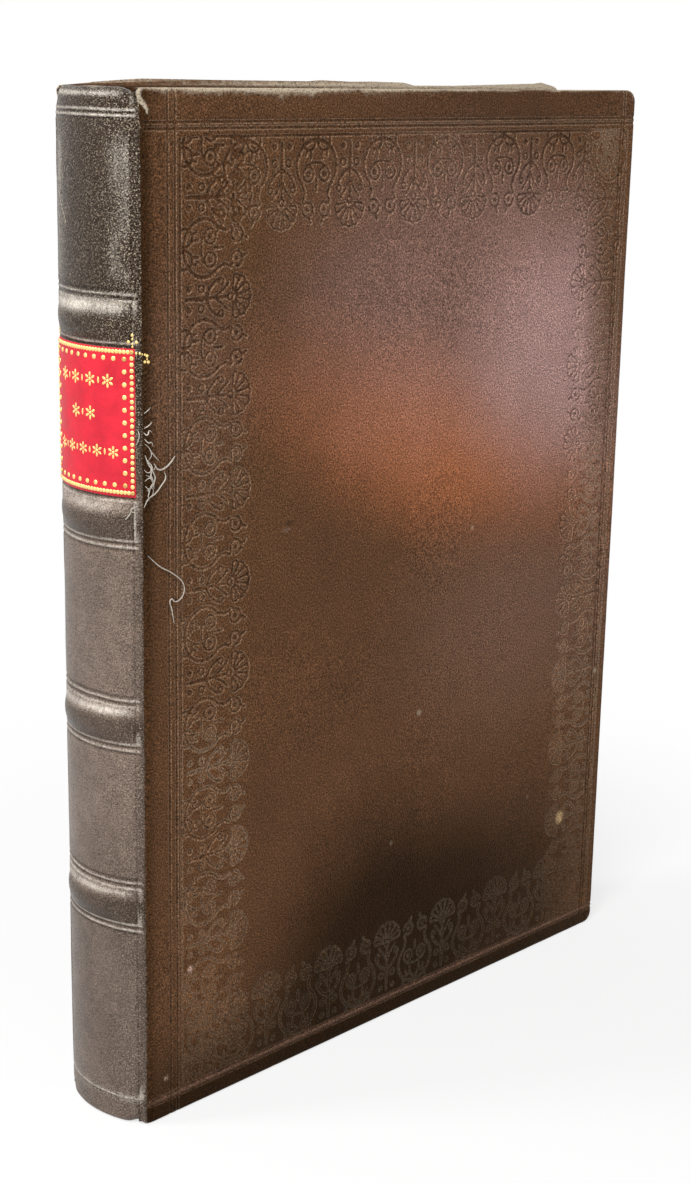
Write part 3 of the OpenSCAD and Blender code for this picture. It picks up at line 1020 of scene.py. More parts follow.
FLYLEAF_T = 0.12
COCKLE = 0.01
PASTE_SINK = 0.02
TURN_IN_STEP = 0.05
LEAVES_Y = float(-FACE_Y - CLAD_T - 0.2 - 0.3)
LEAVES_X = float(PAGES_HIGH[0])
LEAVES_Z = (float(PAGES_LOW[2]), float(PAGES_HIGH[2]))
BLOCK_R = SPINE_X - float(PAGES_LOW[0])
TURN_IN_W = 14.0


def leaves_mesh(pages):
    """Sewn leaves: rounded spine with shoulders, hollow fore-edge and uneven edges."""
    leaf = pages.leaf_step / MM
    jitter = pages.leaf_jitter / MM
    count = int(2 * LEAVES_Y / leaf)
    rng = np.random.default_rng(71)
    uneven = rng.uniform(-1, 1, (3, count)) * jitter
    low, high = LEAVES_Z
    shoulder = math.sqrt(BLOCK_R**2 - (JOINT_X - 0.3 - SPINE_X) ** 2)
    hollow_x = LEAVES_X + math.sqrt(BLOCK_R**2 - LEAVES_Y**2)
    across = np.linspace(0, 1, 42)
    up = np.linspace(0, 1, 58)[1:-1]
    frac_x = np.concatenate([across, np.ones(len(up)), across[::-1], np.zeros(len(up))])
    frac_z = np.concatenate([np.zeros(len(across)), up, np.ones(len(across)), up[::-1]])
    slices = [(-shoulder, JOINT_X - 0.3, 0), (-LEAVES_Y - 1e-4, JOINT_X - 0.3, 0)]
    for k in range(count):
        for y in (k, k + 1):
            slices.append((-LEAVES_Y + 2 * LEAVES_Y * y / count, None, k))
    slices += [(LEAVES_Y + 1e-4, JOINT_X - 0.3, count - 1), (shoulder, JOINT_X - 0.3, count - 1)]
    loops = []
    for y, reach, k in slices:
        back = SPINE_X - math.sqrt(BLOCK_R**2 - y * y)
        if reach is None:
            fore = hollow_x - math.sqrt(BLOCK_R**2 - y * y) + uneven[0, k]
        else:
            fore = max(reach, back + 0.01)
        x = back + (fore - back) * frac_x
        wave = 0.6 + 0.5 * value_noise(x, np.full_like(x, k * 1.7), 24, 72)
        z = low + (high - low) * frac_z
        z = z + np.where(frac_z == 1, uneven[1, k] - jitter, 0) * wave
        z = z + np.where(frac_z == 0, uneven[2, k] + jitter, 0) * wave
        loops.append(np.stack([x, np.full_like(x, y), z], -1))
    return lofted("sewn_leaves", np.array(loops))


def endpaper_mesh():
    """Front pastedown, fold and flyleaf as one thin closed sheet."""
    fold_x = float(PASTE_LOW[0]) - 0.6
    fly_y = -LEAVES_Y - FLYLEAF_T / 2
    paste_y = float(PASTE_HIGH[1]) - FLYLEAF_T / 2 - PASTE_SINK
    inside_x = float(PASTE_HIGH[0])
    turn_x = JOINT_X + COVER_W - TURN_IN_W
    run = np.concatenate([np.linspace(fold_x, turn_x - 1, 40),
                          np.linspace(turn_x - 0.6, turn_x + 0.6, 5),
                          np.linspace(turn_x + 1, inside_x, 6)])
    half, middle = (fly_y - paste_y) / 2, (fly_y + paste_y) / 2
    bend = np.radians(np.linspace(90, 270, 27))[1:-1]
    path = np.concatenate([
        np.stack([run[::-1], np.full(len(run), fly_y)], 1),
        np.stack([fold_x + 1.6 * half * np.cos(bend), middle + half * np.sin(bend)], 1),
        np.stack([run, np.full(len(run), paste_y)], 1)])
    along = np.gradient(path, axis=0)
    along /= np.linalg.norm(along, axis=1, keepdims=True)
    normal = np.stack([along[:, 1], -along[:, 0]], 1)
    on_paste = smooth(-path[:, 1], -fly_y, -paste_y)
    margin = 0.8 * (1 - on_paste)
    low = float(PASTE_LOW[2]) - margin
    high = float(PASTE_HIGH[2]) + margin
    turn = TURN_IN_W / COVER_H
    frac = np.unique(np.concatenate([np.linspace(0, 1, 60), turn + np.linspace(-.003, .003, 5),
                                     1 - turn + np.linspace(-.003, .003, 5)]))
    z = low[:, None] + (high - low)[:, None] * frac[None, :]
    x = np.repeat(path[:, 0][:, None], len(frac), 1)
    y = np.repeat(path[:, 1][:, None], len(frac), 1)
    cockle = COCKLE * value_noise(x, z, 23, 73) * (1 - on_paste[:, None])
    edge = np.minimum(JOINT_X + COVER_W - x, np.minimum(z, COVER_H - z))
    under = 1 - smooth(edge, TURN_IN_W - 0.5, TURN_IN_W + 0.5)
    step = TURN_IN_STEP * under * on_paste[:, None]
    sides = [np.stack([x + side * normal[:, :1] * FLYLEAF_T / 2,
                       y + (step - cockle) + side * normal[:, 1:] * FLYLEAF_T / 2, z], -1)
             for side in (1, -1)]
    mesh = closed_sheet("front_endpaper_sheet", *sides)
    co = point_array(mesh)
    inward = np.minimum(JOINT_X + COVER_W - co[:, 0], np.minimum(co[:, 2], COVER_H - co[:, 2]))
    inward = inward + 2.5 * value_noise(co[:, 0], co[:, 2], 9, 74)
    stain = 0.55 * (1 - smooth(inward, TURN_IN_W - 5, TURN_IN_W + 3))
    set_attribute(mesh, "stain", stain + 0.25 * (1 - smooth(inward, 4, 9)))
    return mesh


def mirrored(mesh, name):
    """Copy of a mesh on the other side of the book."""
    copy = mesh.copy()
    copy.name = name
    copy.transform(Matrix.Diagonal((1, -1, 1, 1)))
    copy.flip_normals()
    return copy


# Node trees

def set_inputs(tree, node, values):
    """Sets or links a node's inputs. Colours are opaque."""
    for key, value in values.items():
        socket = node.inputs[key]
        if isinstance(value, bpy.types.NodeSocket):
            tree.links.new(value, socket)
        elif socket.type == "RGBA":
            socket.default_value = (*value[:3], 1)
        else:
            socket.default_value = value


def add_node(tree, kind, values=None, **settings):
    """Adds a node, sets its properties, and sets or links its inputs."""
    node = tree.nodes.new(kind)
    for key, value in settings.items():
        setattr(node, key, value)
    set_inputs(tree, node, values or {})
    return node


def new_group(name, kind, inputs, outputs):
    """Node group with named sockets: its tree, what it is given and what it results in."""
    tree = bpy.data.node_groups.new(name, kind)
    for label, socket, default in inputs:
        item = tree.interface.new_socket(label, in_out="INPUT",
                                         socket_type=f"NodeSocket{socket}")
        if default is not None:
            item.default_value = default
    for label, socket in outputs:
        tree.interface.new_socket(label, in_out="OUTPUT", socket_type=f"NodeSocket{socket}")
    given = tree.nodes.new("NodeGroupInput").outputs
    return tree, given, tree.nodes.new("NodeGroupOutput").inputs


def math_node(tree, operation, *values, clamp=False):
    """Output of a math node."""
    node = add_node(tree, "ShaderNodeMath", dict(enumerate(values)), operation=operation)
    node.use_clamp = clamp
    return node.outputs[0]


def ramp(tree, value, low, high, to_low=0.0, to_high=1.0):
    """Eased ramp of a value between two levels."""
    values = {"Value": value, "From Min": low, "From Max": high, "To Min": to_low,
              "To Max": to_high}
    node = add_node(tree, "ShaderNodeMapRange", values, interpolation_type="SMOOTHSTEP")
    return node.outputs["Result"]


def times(tree, a, b):
    """Product of two numbers."""
    return math_node(tree, "MULTIPLY", a, b)


def mix(tree, factor, a, b, blend="MIX"):
    """Colour between a and b."""
    return add_node(tree, "ShaderNodeMix", {0: factor, 6: a, 7: b}, data_type="RGBA",
                    blend_type=blend).outputs[2]


def shaded(tree, colour, factor, level):
    """Colour multiplied where the factor is 1, by one level or by a level of each channel."""
    levels = level if hasattr(level, "__len__") else (level,) * 3
    return mix(tree, factor, colour, levels, blend="MULTIPLY")


def mix_value(tree, factor, a, b):
    """Number between a and b."""
    node = add_node(tree, "ShaderNodeMix", {0: factor, 2: a, 3: b}, data_type="FLOAT")
    return node.outputs[0]


def axis_value(tree, vector, axis):
    """One coordinate of a vector."""
    return add_node(tree, "ShaderNodeSeparateXYZ", {0: vector}).outputs[axis]


def noise_value(tree, vector, scale, detail, roughness=0.5, distortion=0.0):
    """Value of a noise texture."""
    values = {"Vector": vector, "Scale": scale, "Detail": detail, "Roughness": roughness,
              "Distortion": distortion}
    return add_node(tree, "ShaderNodeTexNoise", values).outputs["Fac"]


def scaled_vector(tree, vector, size):
    """Vector divided by a size, so that patterns have that size."""
    inverse = math_node(tree, "DIVIDE", 1.0, size)
    return add_node(tree, "ShaderNodeVectorMath", {0: vector, "Scale": inverse},
                    operation="SCALE").outputs[0]


def build_grain_group():
    """Pebbled leather grain with hair pores and fine creases."""
    tree, given, result = new_group(
        "Leather grain", "ShaderNodeTree",
        (("Vector", "Vector", None), ("Pebble Size", "Float", 0.0008),
         ("Crease", "Float", 0.3)),
        (("Height", "Float"), ("Pores", "Float"),
         ("Tips", "Float")))
    pebble_at = scaled_vector(tree, given["Vector"], given["Pebble Size"])
    warp = add_node(tree, "ShaderNodeTexNoise", {"Vector": pebble_at, "Scale": 0.8, "Detail": 2.0})
    bent = add_node(tree, "ShaderNodeVectorMath", {0: pebble_at, 1: warp.outputs["Color"]},
                    operation="ADD").outputs[0]
    cells = add_node(tree, "ShaderNodeTexVoronoi", {"Vector": bent, "Scale": 1.0},
                     feature="DISTANCE_TO_EDGE")
    pebble = ramp(tree, cells.outputs["Distance"], 0.0, 0.28)
    fine = noise_value(tree, pebble_at, 2.1, 4.0, 0.6)
    long = noise_value(tree, pebble_at, 0.22, 3.0, distortion=0.8)
    crease = ramp(tree, math_node(tree, "ABSOLUTE", math_node(
        tree, "SUBTRACT", long, 0.5)), 0.0, 0.03)
    creased = times(tree, math_node(tree, "SUBTRACT", crease, 1.0), given["Crease"])
    body = math_node(tree, "MULTIPLY_ADD", fine, 0.8, pebble)
    tree.links.new(math_node(tree, "ADD", body, creased), result["Height"])
    tree.links.new(ramp(tree, fine, 0.49, 0.37), result["Pores"])
    tree.links.new(ramp(tree, fine, 0.52, 0.64), result["Tips"])
    return tree


def build_mottle_group():
    """Soft patches of a given size."""
    tree, given, result = new_group(
        "Mottle", "ShaderNodeTree",
        (("Vector", "Vector", None), ("Size", "Float", 0.02),
         ("Low", "Float", 0.35), ("High", "Float", 0.65)),
        (("Mask", "Float"),))
    at = scaled_vector(tree, given["Vector"], given["Size"])
    noise = noise_value(tree, at, 1.0, 5.0, 0.6, 0.4)
    mask = ramp(tree, noise, given["Low"], given["High"])
    tree.links.new(mask, result["Mask"])
    return tree


def build_patch_group():
    """Soft oval patch about a centre, broken up by noise."""
    tree, given, result = new_group(
        "Patch", "ShaderNodeTree",
        (("Vector", "Vector", None), ("Centre", "Vector", None),
         ("Reach", "Vector", (0.05, 0.05, 0.05)), ("Break Up", "Float", 0.2),
         ("Full At", "Float", 0.0), ("Lean", "Float", 0.0)),
        (("Mask", "Float"),))
    away = add_node(tree, "ShaderNodeVectorMath", {0: given["Vector"], 1: given["Centre"]},
                    operation="SUBTRACT").outputs[0]
    split = add_node(tree, "ShaderNodeSeparateXYZ", {0: away}).outputs
    leant = math_node(tree, "MULTIPLY_ADD", split["X"], given["Lean"], split["Z"])
    away = add_node(tree, "ShaderNodeCombineXYZ", {"X": split["X"], "Z": leant}).outputs[0]
    ratio = add_node(tree, "ShaderNodeVectorMath", {0: away, 1: given["Reach"]},
                     operation="DIVIDE").outputs[0]
    length = add_node(tree, "ShaderNodeVectorMath", {0: ratio}, operation="LENGTH")
    noise = noise_value(tree, given["Vector"], 45.0, 4.0)
    drift = times(tree, math_node(tree, "SUBTRACT", noise, 0.5), given["Break Up"])
    reach = math_node(tree, "ADD", length.outputs["Value"], drift)
    tree.links.new(ramp(tree, reach, 1.0, given["Full At"]), result["Mask"])
    return tree


def build_wear_group():
    """Rubbed areas: a stored level broken up by a fine scratchy pattern."""
    tree, given, result = new_group(
        "Rubbed wear", "ShaderNodeTree",
        (("Level", "Float", 0.0), ("Vector", "Vector", None),
         ("Break Up", "Float", 0.5)),
        (("Mask", "Float"),))
    at = scaled_vector(tree, given["Vector"], 0.0011)
    noise = noise_value(tree, at, 1.0, 5.0, 0.7)
    shift = times(tree, math_node(tree, "SUBTRACT", noise, 0.5), given["Break Up"])
    level = math_node(tree, "MULTIPLY_ADD", shift, 2.0, given["Level"])
    tree.links.new(ramp(tree, level, 0.28, 0.8), result["Mask"])
    return tree


def build_speck_group():
    """Sparse specks of dust and small pale spots."""
    tree, given, result = new_group(
        "Specks", "ShaderNodeTree",
        (("Vector", "Vector", None), ("Spacing", "Float", 0.004),
         ("Share", "Float", 0.12)),
        (("Mask", "Float"),))
    at = scaled_vector(tree, given["Vector"], given["Spacing"])
    cells = add_node(tree, "ShaderNodeTexVoronoi", {"Vector": at, "Scale": 1.0})
    dot = ramp(tree, cells.outputs["Distance"], 0.13, 0.05)
    split = add_node(tree, "ShaderNodeSeparateColor", {"Color": cells.outputs["Color"]})
    chosen = math_node(tree, "LESS_THAN", split.outputs[0], given["Share"])
    tree.links.new(times(tree, dot, chosen), result["Mask"])
    return tree


def build_paper_group():
    """Laid paper: fibres, toning and foxing."""
    tree, given, result = new_group(
        "Old paper", "ShaderNodeTree",
        (("Vector", "Vector", None), ("Foxing", "Float", 0.5)),
        (("Height", "Float"), ("Tone", "Float"), ("Fox", "Float")))
    at = scaled_vector(tree, given["Vector"], 0.0009)
    fibre = noise_value(tree, at, 1.0, 5.0, 0.65)
    tree.links.new(fibre, result["Height"])
    broad = noise_value(tree, given["Vector"], 28.0, 5.0)
    tree.links.new(ramp(tree, broad, 0.3, 0.75), result["Tone"])
    spots = add_node(tree, "ShaderNodeTexVoronoi", {"Vector": scaled_vector(
        tree, given["Vector"], 0.011), "Scale": 1.0})
    spot = ramp(tree, spots.outputs["Distance"], 0.17, 0.03)
    fox = times(tree, spot, given["Foxing"])
    tree.links.new(fox, result["Fox"])
    return tree


GROUPS = {}
GROUP_BUILDERS = {
    "grain": build_grain_group, "mottle": build_mottle_group, "patch": build_patch_group,
    "wear": build_wear_group, "speck": build_speck_group, "paper": build_paper_group,
}


def place_group(tree, key, **values):
    """Places a shared effect in a material with its own values."""
    if key not in GROUPS:
        GROUPS[key] = GROUP_BUILDERS[key]()
    values = {label.replace("_", " "): value for label, value in values.items()}
    return add_node(tree, "ShaderNodeGroup", values, node_tree=GROUPS[key]).outputs


def new_material(name, bends=False):
    """Material, its tree, its shader and its coordinates: the stored place when bends is set."""
    material = bpy.data.materials.new(name)
    material.use_nodes = True
    tree = material.node_tree
    shader = tree.nodes["Principled BSDF"]
    if bends:
        return material, tree, shader, stored_place(tree)
    return material, tree, shader, tree.nodes.new("ShaderNodeTexCoord").outputs["Object"]


def stored(tree, name):
    """Number stored on the mesh's points."""
    return add_node(tree, "ShaderNodeAttribute", attribute_name=name).outputs["Fac"]


def stored_place(tree):
    """Place stored on the mesh's points, in metres."""
    return add_node(tree, "ShaderNodeAttribute", attribute_name="place").outputs["Vector"]


def bump(tree, shader, height, distance, strength=1.0):
    """Feeds a height into the shader's normal."""
    node = add_node(tree, "ShaderNodeBump", {"Height": height, "Distance": distance,
                                             "Strength": strength})
    tree.links.new(node.outputs["Normal"], shader.inputs["Normal"])


def on_cover(x, z):
    """Place on the cover's face, from distances to the joint and the tail in millimetres."""
    return ((JOINT_X + x) * MM, 0.0, z * MM)


# Soft patches of the covers, the red, sheen and shade ones painted reflection, sheen and shade:
# colour, place and reach in millimetres, where it is full, how it leans, and its strength on
# the front and on the back
COVER_PATCHES = (
    ("cover_red", (100, 146), (88, 34), 0.1, 0.3, 0.95, 0.45),
    ("cover_bloom", (98, 182), (76, 50), 0.2, 0.0, 0.33, 0.1),
    ("cover_bloom", (142, 168), (53, 50), 0.2, 0.0, 0.88, 0.25),
    ("cover_fore", (128, 100), (66, 46), 0.1, 0.0, 0.75, 0.4),
    ("cover_fore", (15, 170), (26, 34), 0.2, 0.0, 0.35, 0.35),
    ("cover_fore", (160, 150), (13, 60), 0.3, 0.0, 0.6, 0.5),
    ("cover", (166, 204), (25, 72), 0.4, 0.0, 0.9, 0.8),
    ("cover_dark", (125, 229), (66, 11), 0.3, 0.0, 0.25, 0.2),
    ("cover_dark", (78, 12), (57, 62), 0.35, 0.0, 0.93, 0.6),
    ("cover_dark", (120, 8), (64, 58), 0.2, 0.0, 0.85, 0.6),
    ("cover_dark", (30, 0), (74, 29), 0.2, 0.0, 0.72, 0.5),
)
# Marks on the covers: tone, place and reach in millimetres, where it is full, and strength
COVER_MARKS = (
    ((0.36, 0.25, 0.13), (148.0, 36.0), (2.2, 2.6), 0.3, 0.85),
    ((0.42, 0.28, 0.24), (13.0, 35.0), (1.1, 1.2), 0.3, 0.7),
    ((0.30, 0.22, 0.16), (5.6, 10.0), (0.9, 1.0), 0.3, 0.6),
    ((0.03, 0.018, 0.01), (43.0, 135.5), (2.4, 0.8), 0.2, 0.6),
    ((0.20, 0.14, 0.11), (42.0, 134.0), (1.8, 0.7), 0.2, 0.5),
)


def cover_finish(colours):
    """Brown calf of the covers, with painted reflection, sheen and shade in soft patches, black
    painted shade at the joint where the spine's leather starts and on the tail edge, and painted
    highlights on the tooled lines and between the tail's lines.
    """
    material, tree, shader, place = new_material("cover_leather_finish", bends=True)
    flat = add_node(tree, "ShaderNodeVectorMath", {0: place, 1: (1, 0, 1)},
                    operation="MULTIPLY").outputs[0]
    grain = place_group(tree, "grain", Vector=place, Pebble_Size=0.0008, Crease=0.3)
    broad = place_group(tree, "mottle", Vector=place, Size=0.034, Low=0.3, High=0.7)["Mask"]
    small = place_group(tree, "mottle", Vector=place, Size=0.004, Low=0.35, High=0.7)["Mask"]
    colour = mix(tree, broad, [0.85 * c for c in colours.cover], colours.cover)
    plain = colour
    sides = axis_value(tree, place, "Y")
    front = ramp(tree, sides, 0.002, -0.002)
    patches = [(getattr(colours, name), *patch) for name, *patch in COVER_PATCHES]
    patches += [(*mark[:4], 0.0, mark[4], 0.0) for mark in COVER_MARKS]
    for tone, centre, reach, full, lean, level, back_level in patches:
        mask = place_group(tree, "patch", Vector=flat, Centre=on_cover(*centre),
                           Reach=(reach[0] * MM, 1.0, reach[1] * MM), Lean=lean,
                           Break_Up=0.28 if reach[0] > 5 else 0.0, Full_At=full)["Mask"]
        strength = ramp(tree, front, 0.0, 1.0, back_level, level)
        colour = mix(tree, times(tree, mask, strength), colour, tone)
    high = axis_value(tree, place, "Z")
    upper = ramp(tree, high, 0.095, 0.14, 0.0, 0.85)
    dense = times(tree, stored(tree, "density"), upper)
    colour = mix(tree, dense, colour, shaded(tree, plain, 1.0, 1.1))
    dust = times(tree, stored(tree, "islands"), ramp(tree, small, 0.0, 1.0, 0.25, 0.9))
    colour = mix(tree, dust, colour, shaded(tree, colour, 1.0, (1.75, 1.62, 1.35)))
    # Painted shade on the rounded tail edge, below the lines
    colour = mix(tree, ramp(tree, high, 0.0052, 0.0032, 0.0, 0.75), colour, colours.cover_dark)
    # Painted highlight on the raised leather between the tail's lines
    ridge_highlight = times(tree, ramp(tree, high, 0.0038, 0.0047),
                  ramp(tree, high, 0.0066, 0.0055, 0.0, 0.55))
    colour = mix(tree, ridge_highlight, colour, colours.cover_fore)
    colour = mix(tree, times(tree, small, 0.2), colour, shaded(tree, colour, 1.0, 1.5))
    tooling = stored(tree, "tooling")
    # Tooled lines darkened, partly by the hot tools and partly as painted shade in the grooves
    pressed = ramp(tree, tooling, 0.25, 1.0, 0.0, 0.5)
    colour = mix(tree, pressed, colour, [0.2 * c for c in colours.cover])
    # Painted highlight, with rubbing, on the edges of the tooled lines, stronger higher up
    lip = times(tree, ramp(tree, tooling, 0.02, 0.15, 0.0, 0.15), ramp(tree, tooling, 0.5, 0.2))
    lip = times(tree, lip, ramp(tree, high, 0.0, 0.09, 0.3, 1.0))
    colour = mix(tree, lip, colour, colours.worn)
    # Painted shade along the joint, stronger higher up
    joint = times(tree, stored(tree, "joint"), ramp(tree, high, 0.10, 0.15, 0.45, 0.75))
    colour = mix(tree, joint, colour, colours.cover_dark)
    pale = shaded(tree, colour, 1.0, (2.5, 2.35, 2.3))
    colour = dusted(tree, colour, grain, 0.8, 0.8, pale)
    wear = place_group(tree, "wear", Level=stored(tree, "wear"), Vector=place,
                       Break_Up=0.32)["Mask"]
    wear = times(tree, wear, math_node(tree, "MULTIPLY_ADD", grain["Pores"], -0.6, 1.0))
    rubbed = mix(tree, wear, [0.6 * c for c in colours.worn], colours.worn)
    colour = mix(tree, times(tree, wear, 0.8), colour, rubbed)
    speck = place_group(tree, "speck", Vector=place, Spacing=0.009, Share=0.05)["Mask"]
    colour = mix(tree, times(tree, speck, 0.3), colour, colours.worn)
    rough = math_node(tree, "MULTIPLY_ADD", broad, 0.08, 0.42)
    rough = math_node(tree, "MULTIPLY_ADD", tooling, -0.08, rough)
    rough = math_node(tree, "MULTIPLY_ADD", wear, 0.3, rough)
    set_inputs(tree, shader, {"Base Color": colour, "Roughness": rough, "Specular IOR Level": 0.03,
                              "Specular Tint": (1.0, 0.62, 0.38)})
    bump(tree, shader, grain["Height"], 0.00010, 0.8)
    return material


def dusted(tree, colour, grain, dark, light, pale):
    """Colour with darker pores and paler tips to the grain."""
    pores = times(tree, grain["Pores"], dark)
    colour = shaded(tree, colour, pores, 0.15)
    tips = times(tree, grain["Tips"], light)
    return mix(tree, tips, colour, pale)


def spine_colour(tree, place, colours):
    """Black brown at the head of the spine, with a painted grey sheen below the label, darker
    towards the tail.
    """
    height = axis_value(tree, place, "Z")
    broad = place_group(tree, "mottle", Vector=place, Size=0.017, Low=0.3, High=0.7)["Mask"]
    drift = math_node(tree, "MULTIPLY_ADD", broad, 0.012, height)
    colour = mix(tree, ramp(tree, drift, LABEL_Z[0] * MM, LABEL_Z[1] * MM), colours.spine_sheen_grey,
                 colours.spine)
    shade = times(tree, broad, 0.3)
    colour = mix(tree, shade, colour, [0.5 * c for c in colours.spine])
    colour = shaded(tree, colour, ramp(tree, height, 0.075, 0.045), 0.82)
    cloud = place_group(tree, "mottle", Vector=place, Size=0.0035, Low=0.35, High=0.65)["Mask"]
    return shaded(tree, colour, times(tree, cloud, 0.45), 1.5)


def spine_finish(colours):
    """Black brown leather of the spine, with painted highlights on the bands, lines, cap and grain,
    painted shade under the bands and along the joint, and rubbed wear.
    """
    material, tree, shader, place = new_material("spine_leather_finish", bends=True)
    grain = place_group(tree, "grain", Vector=place, Pebble_Size=0.0007, Crease=0.4)
    colour = spine_colour(tree, place, colours)
    # Lines darkened, partly by the hot tools and partly as painted shade in the grooves
    colour = mix(tree, times(tree, stored(tree, "tooling"), 0.5), colour,
                 [0.3 * c for c in colours.spine])
    # Painted shade along the joint and where the bands end beside it
    colour = mix(tree, times(tree, stored(tree, "joint"), 0.75), colour, colours.cover_dark)
    # Painted shade under each band's shoulder
    belly = times(tree, stored(tree, "belly"), 0.7)
    colour = mix(tree, belly, colour, [1.3 * c for c in colours.spine])
    height = axis_value(tree, place, "Z")
    across = math_node(tree, "ABSOLUTE", axis_value(tree, place, "Y"))
    # Painted glints on the grain's tips, stronger towards the joints and higher up
    sparkle = times(tree, ramp(tree, across, 0.002, 0.012, 0.45, 1.0),
                    ramp(tree, height, LABEL_Z[0] * MM, LABEL_Z[1] * MM, 0.28, 0.62))
    colour = dusted(tree, colour, grain, 0.6, sparkle, colours.worn)
    streaks = add_node(tree, "ShaderNodeMapping", {"Vector": place, "Scale": (900, 900, 70)})
    streak = noise_value(tree, streaks.outputs[0], 1.0, 4.0, 0.6)
    broken = ramp(tree, streak, 0.35, 0.6, 0.6, 1.0)
    # Painted highlight on the bands' shoulders, the lines and the cap
    shine = times(tree, stored(tree, "shine"), broken)
    shine = math_node(tree, "MULTIPLY_ADD", grain["Pores"], -0.25, shine, clamp=True)
    colour = mix(tree, times(tree, shine, 0.85), colour, colours.polish_highlight)
    wear = place_group(tree, "wear", Level=stored(tree, "wear"), Vector=place,
                       Break_Up=0.5)["Mask"]
    colour = mix(tree, times(tree, wear, 0.75), colour, colours.worn)
    rough = math_node(tree, "MULTIPLY_ADD", wear, 0.2, 0.27)
    set_inputs(tree, shader, {"Base Color": colour, "Roughness": rough, "Specular IOR Level": 0.25,
                              "Specular Tint": (1.0, 0.76, 0.6)})
    bump(tree, shader, grain["Height"], 0.00018, 1.0)
    return material


def label_finish(colours):
    """Red goatskin of the label, slightly mottled."""
    material, tree, shader, place = new_material("label_leather_finish")
    grain = place_group(tree, "grain", Vector=place, Pebble_Size=0.0006, Crease=0.2)
    broad = place_group(tree, "mottle", Vector=place, Size=0.006, Low=0.3, High=0.7)["Mask"]
    colour = mix(tree, broad, [0.75 * c for c in colours.label], colours.label)
    rough = math_node(tree, "MULTIPLY_ADD", broad, 0.1, 0.42)
    set_inputs(tree, shader, {"Base Color": colour, "Roughness": rough, "Specular IOR Level": 0.2})
    bump(tree, shader, grain["Height"], 0.00004, 0.5)
    return material


def gold_finish(colours):
    """Gold leaf, thin in places so that the red shows."""
    material, tree, shader, place = new_material("gold_leaf_finish")
    thin = place_group(tree, "mottle", Vector=place, Size=0.0006, Low=0.3, High=0.45)["Mask"]
    colour = mix(tree, thin, [0.55 * c for c in colours.gold], colours.gold)
    rough = math_node(tree, "MULTIPLY_ADD", thin, -0.12, 0.42)
    set_inputs(tree, shader, {"Base Color": colour, "Metallic": 0.6, "Roughness": rough})
    return material


def paper_finish(name, colours, tone, edges=False, foxing=0.5):
    """Old rag paper; edges draws the fine lines between leaves as painted shade."""
    material, tree, shader, place = new_material(name)
    paper = place_group(tree, "paper", Vector=place, Foxing=foxing)
    base = [tone * c for c in colours.paper]
    colour = mix(tree, paper["Tone"], [0.82 * c for c in base], base)
    colour = mix(tree, times(tree, paper["Fox"], 0.5), colour, (0.30, 0.15, 0.06))
    colour = mix(tree, times(tree, stored(tree, "stain"), 0.75), colour, (0.33, 0.20, 0.10))
    height = paper["Height"]
    if edges:
        stretched = add_node(tree, "ShaderNodeMapping", {"Vector": place, "Scale": (60, 9000, 60)})
        lines = noise_value(tree, stretched.outputs[0], 1.0, 3.0)
        # Painted shade in the fine lines between leaves
        dark = ramp(tree, lines, 0.62, 0.42)
        colour = mix(tree, times(tree, dark, 0.55), colour, [0.42 * c for c in base])
        height = lines
        high = axis_value(tree, place, "Z")
        dusty = ramp(tree, high, LEAVES_Z[1] * MM - 0.0012, LEAVES_Z[1] * MM, 0.0, 0.7)
        colour = mix(tree, dusty, colour, (0.12, 0.08, 0.05))
    set_inputs(tree, shader, {"Base Color": colour, "Roughness": 0.85, "Specular IOR Level": 0.2})
    bump(tree, shader, height, 0.00005, 0.5)
    return material


def fibre_finish(name, colour, stretch, dark=0.6, rough=0.8):
    """Thread, cord or board: fibres running along one way."""
    material, tree, shader, place = new_material(name)
    mapped = add_node(tree, "ShaderNodeMapping", {"Vector": place, "Scale": stretch})
    noise = noise_value(tree, mapped.outputs[0], 1.0, 5.0, 0.65)
    tone = ramp(tree, noise, 0.35, 0.68)
    set_inputs(tree, shader, {
        "Base Color": mix(tree, tone, [dark * c for c in colour], colour),
        "Roughness": rough})
    bump(tree, shader, noise, 0.0001, 0.7)
    return material


# Repeats made by Geometry Nodes

def build_bead_tree():
    """Flattened beads at even steps along a path, lying on the rounded spine."""
    tree, given, result = new_group(
        "Bead rows", "GeometryNodeTree",
        (("Path", "Geometry", None), ("Step", "Float", 0.002),
         ("Radius", "Float", 0.0005), ("Flatness", "Float", 0.35),
         ("Axis X", "Float", 0.0), ("Gold", "Material", None)),
        (("Beads", "Geometry"),))
    curve = add_node(tree, "GeometryNodeMeshToCurve", {"Mesh": given["Path"]})
    spots = add_node(tree, "GeometryNodeCurveToPoints", {
        "Curve": curve.outputs[0], "Length": given["Step"]}, mode="LENGTH")
    bead = add_node(tree, "GeometryNodeMeshIcoSphere", {"Radius": given["Radius"],
                                                        "Subdivisions": 2})
    place = add_node(tree, "GeometryNodeInputPosition").outputs[0]
    split = add_node(tree, "ShaderNodeSeparateXYZ", {0: place})
    outward_x = math_node(tree, "SUBTRACT", split.outputs["X"], given["Axis X"])
    away = add_node(tree, "ShaderNodeCombineXYZ", {"X": outward_x, "Y": split.outputs["Y"]})
    facing = add_node(tree, "FunctionNodeAlignRotationToVector", {"Vector": away.outputs[0]},
                      axis="Z")
    flat = add_node(tree, "ShaderNodeCombineXYZ", {"X": 1.0, "Y": 1.0, "Z": given["Flatness"]})
    beads = add_node(tree, "GeometryNodeInstanceOnPoints", {
        "Points": spots.outputs["Points"], "Instance": bead.outputs["Mesh"],
        "Rotation": facing.outputs[0], "Scale": flat.outputs[0]})
    real = add_node(tree, "GeometryNodeRealizeInstances", {0: beads.outputs[0]})
    done = add_node(tree, "GeometryNodeSetMaterial", {0: real.outputs[0],
                                                      "Material": given["Gold"]})
    tree.links.new(done.outputs[0], result["Beads"])
    return tree


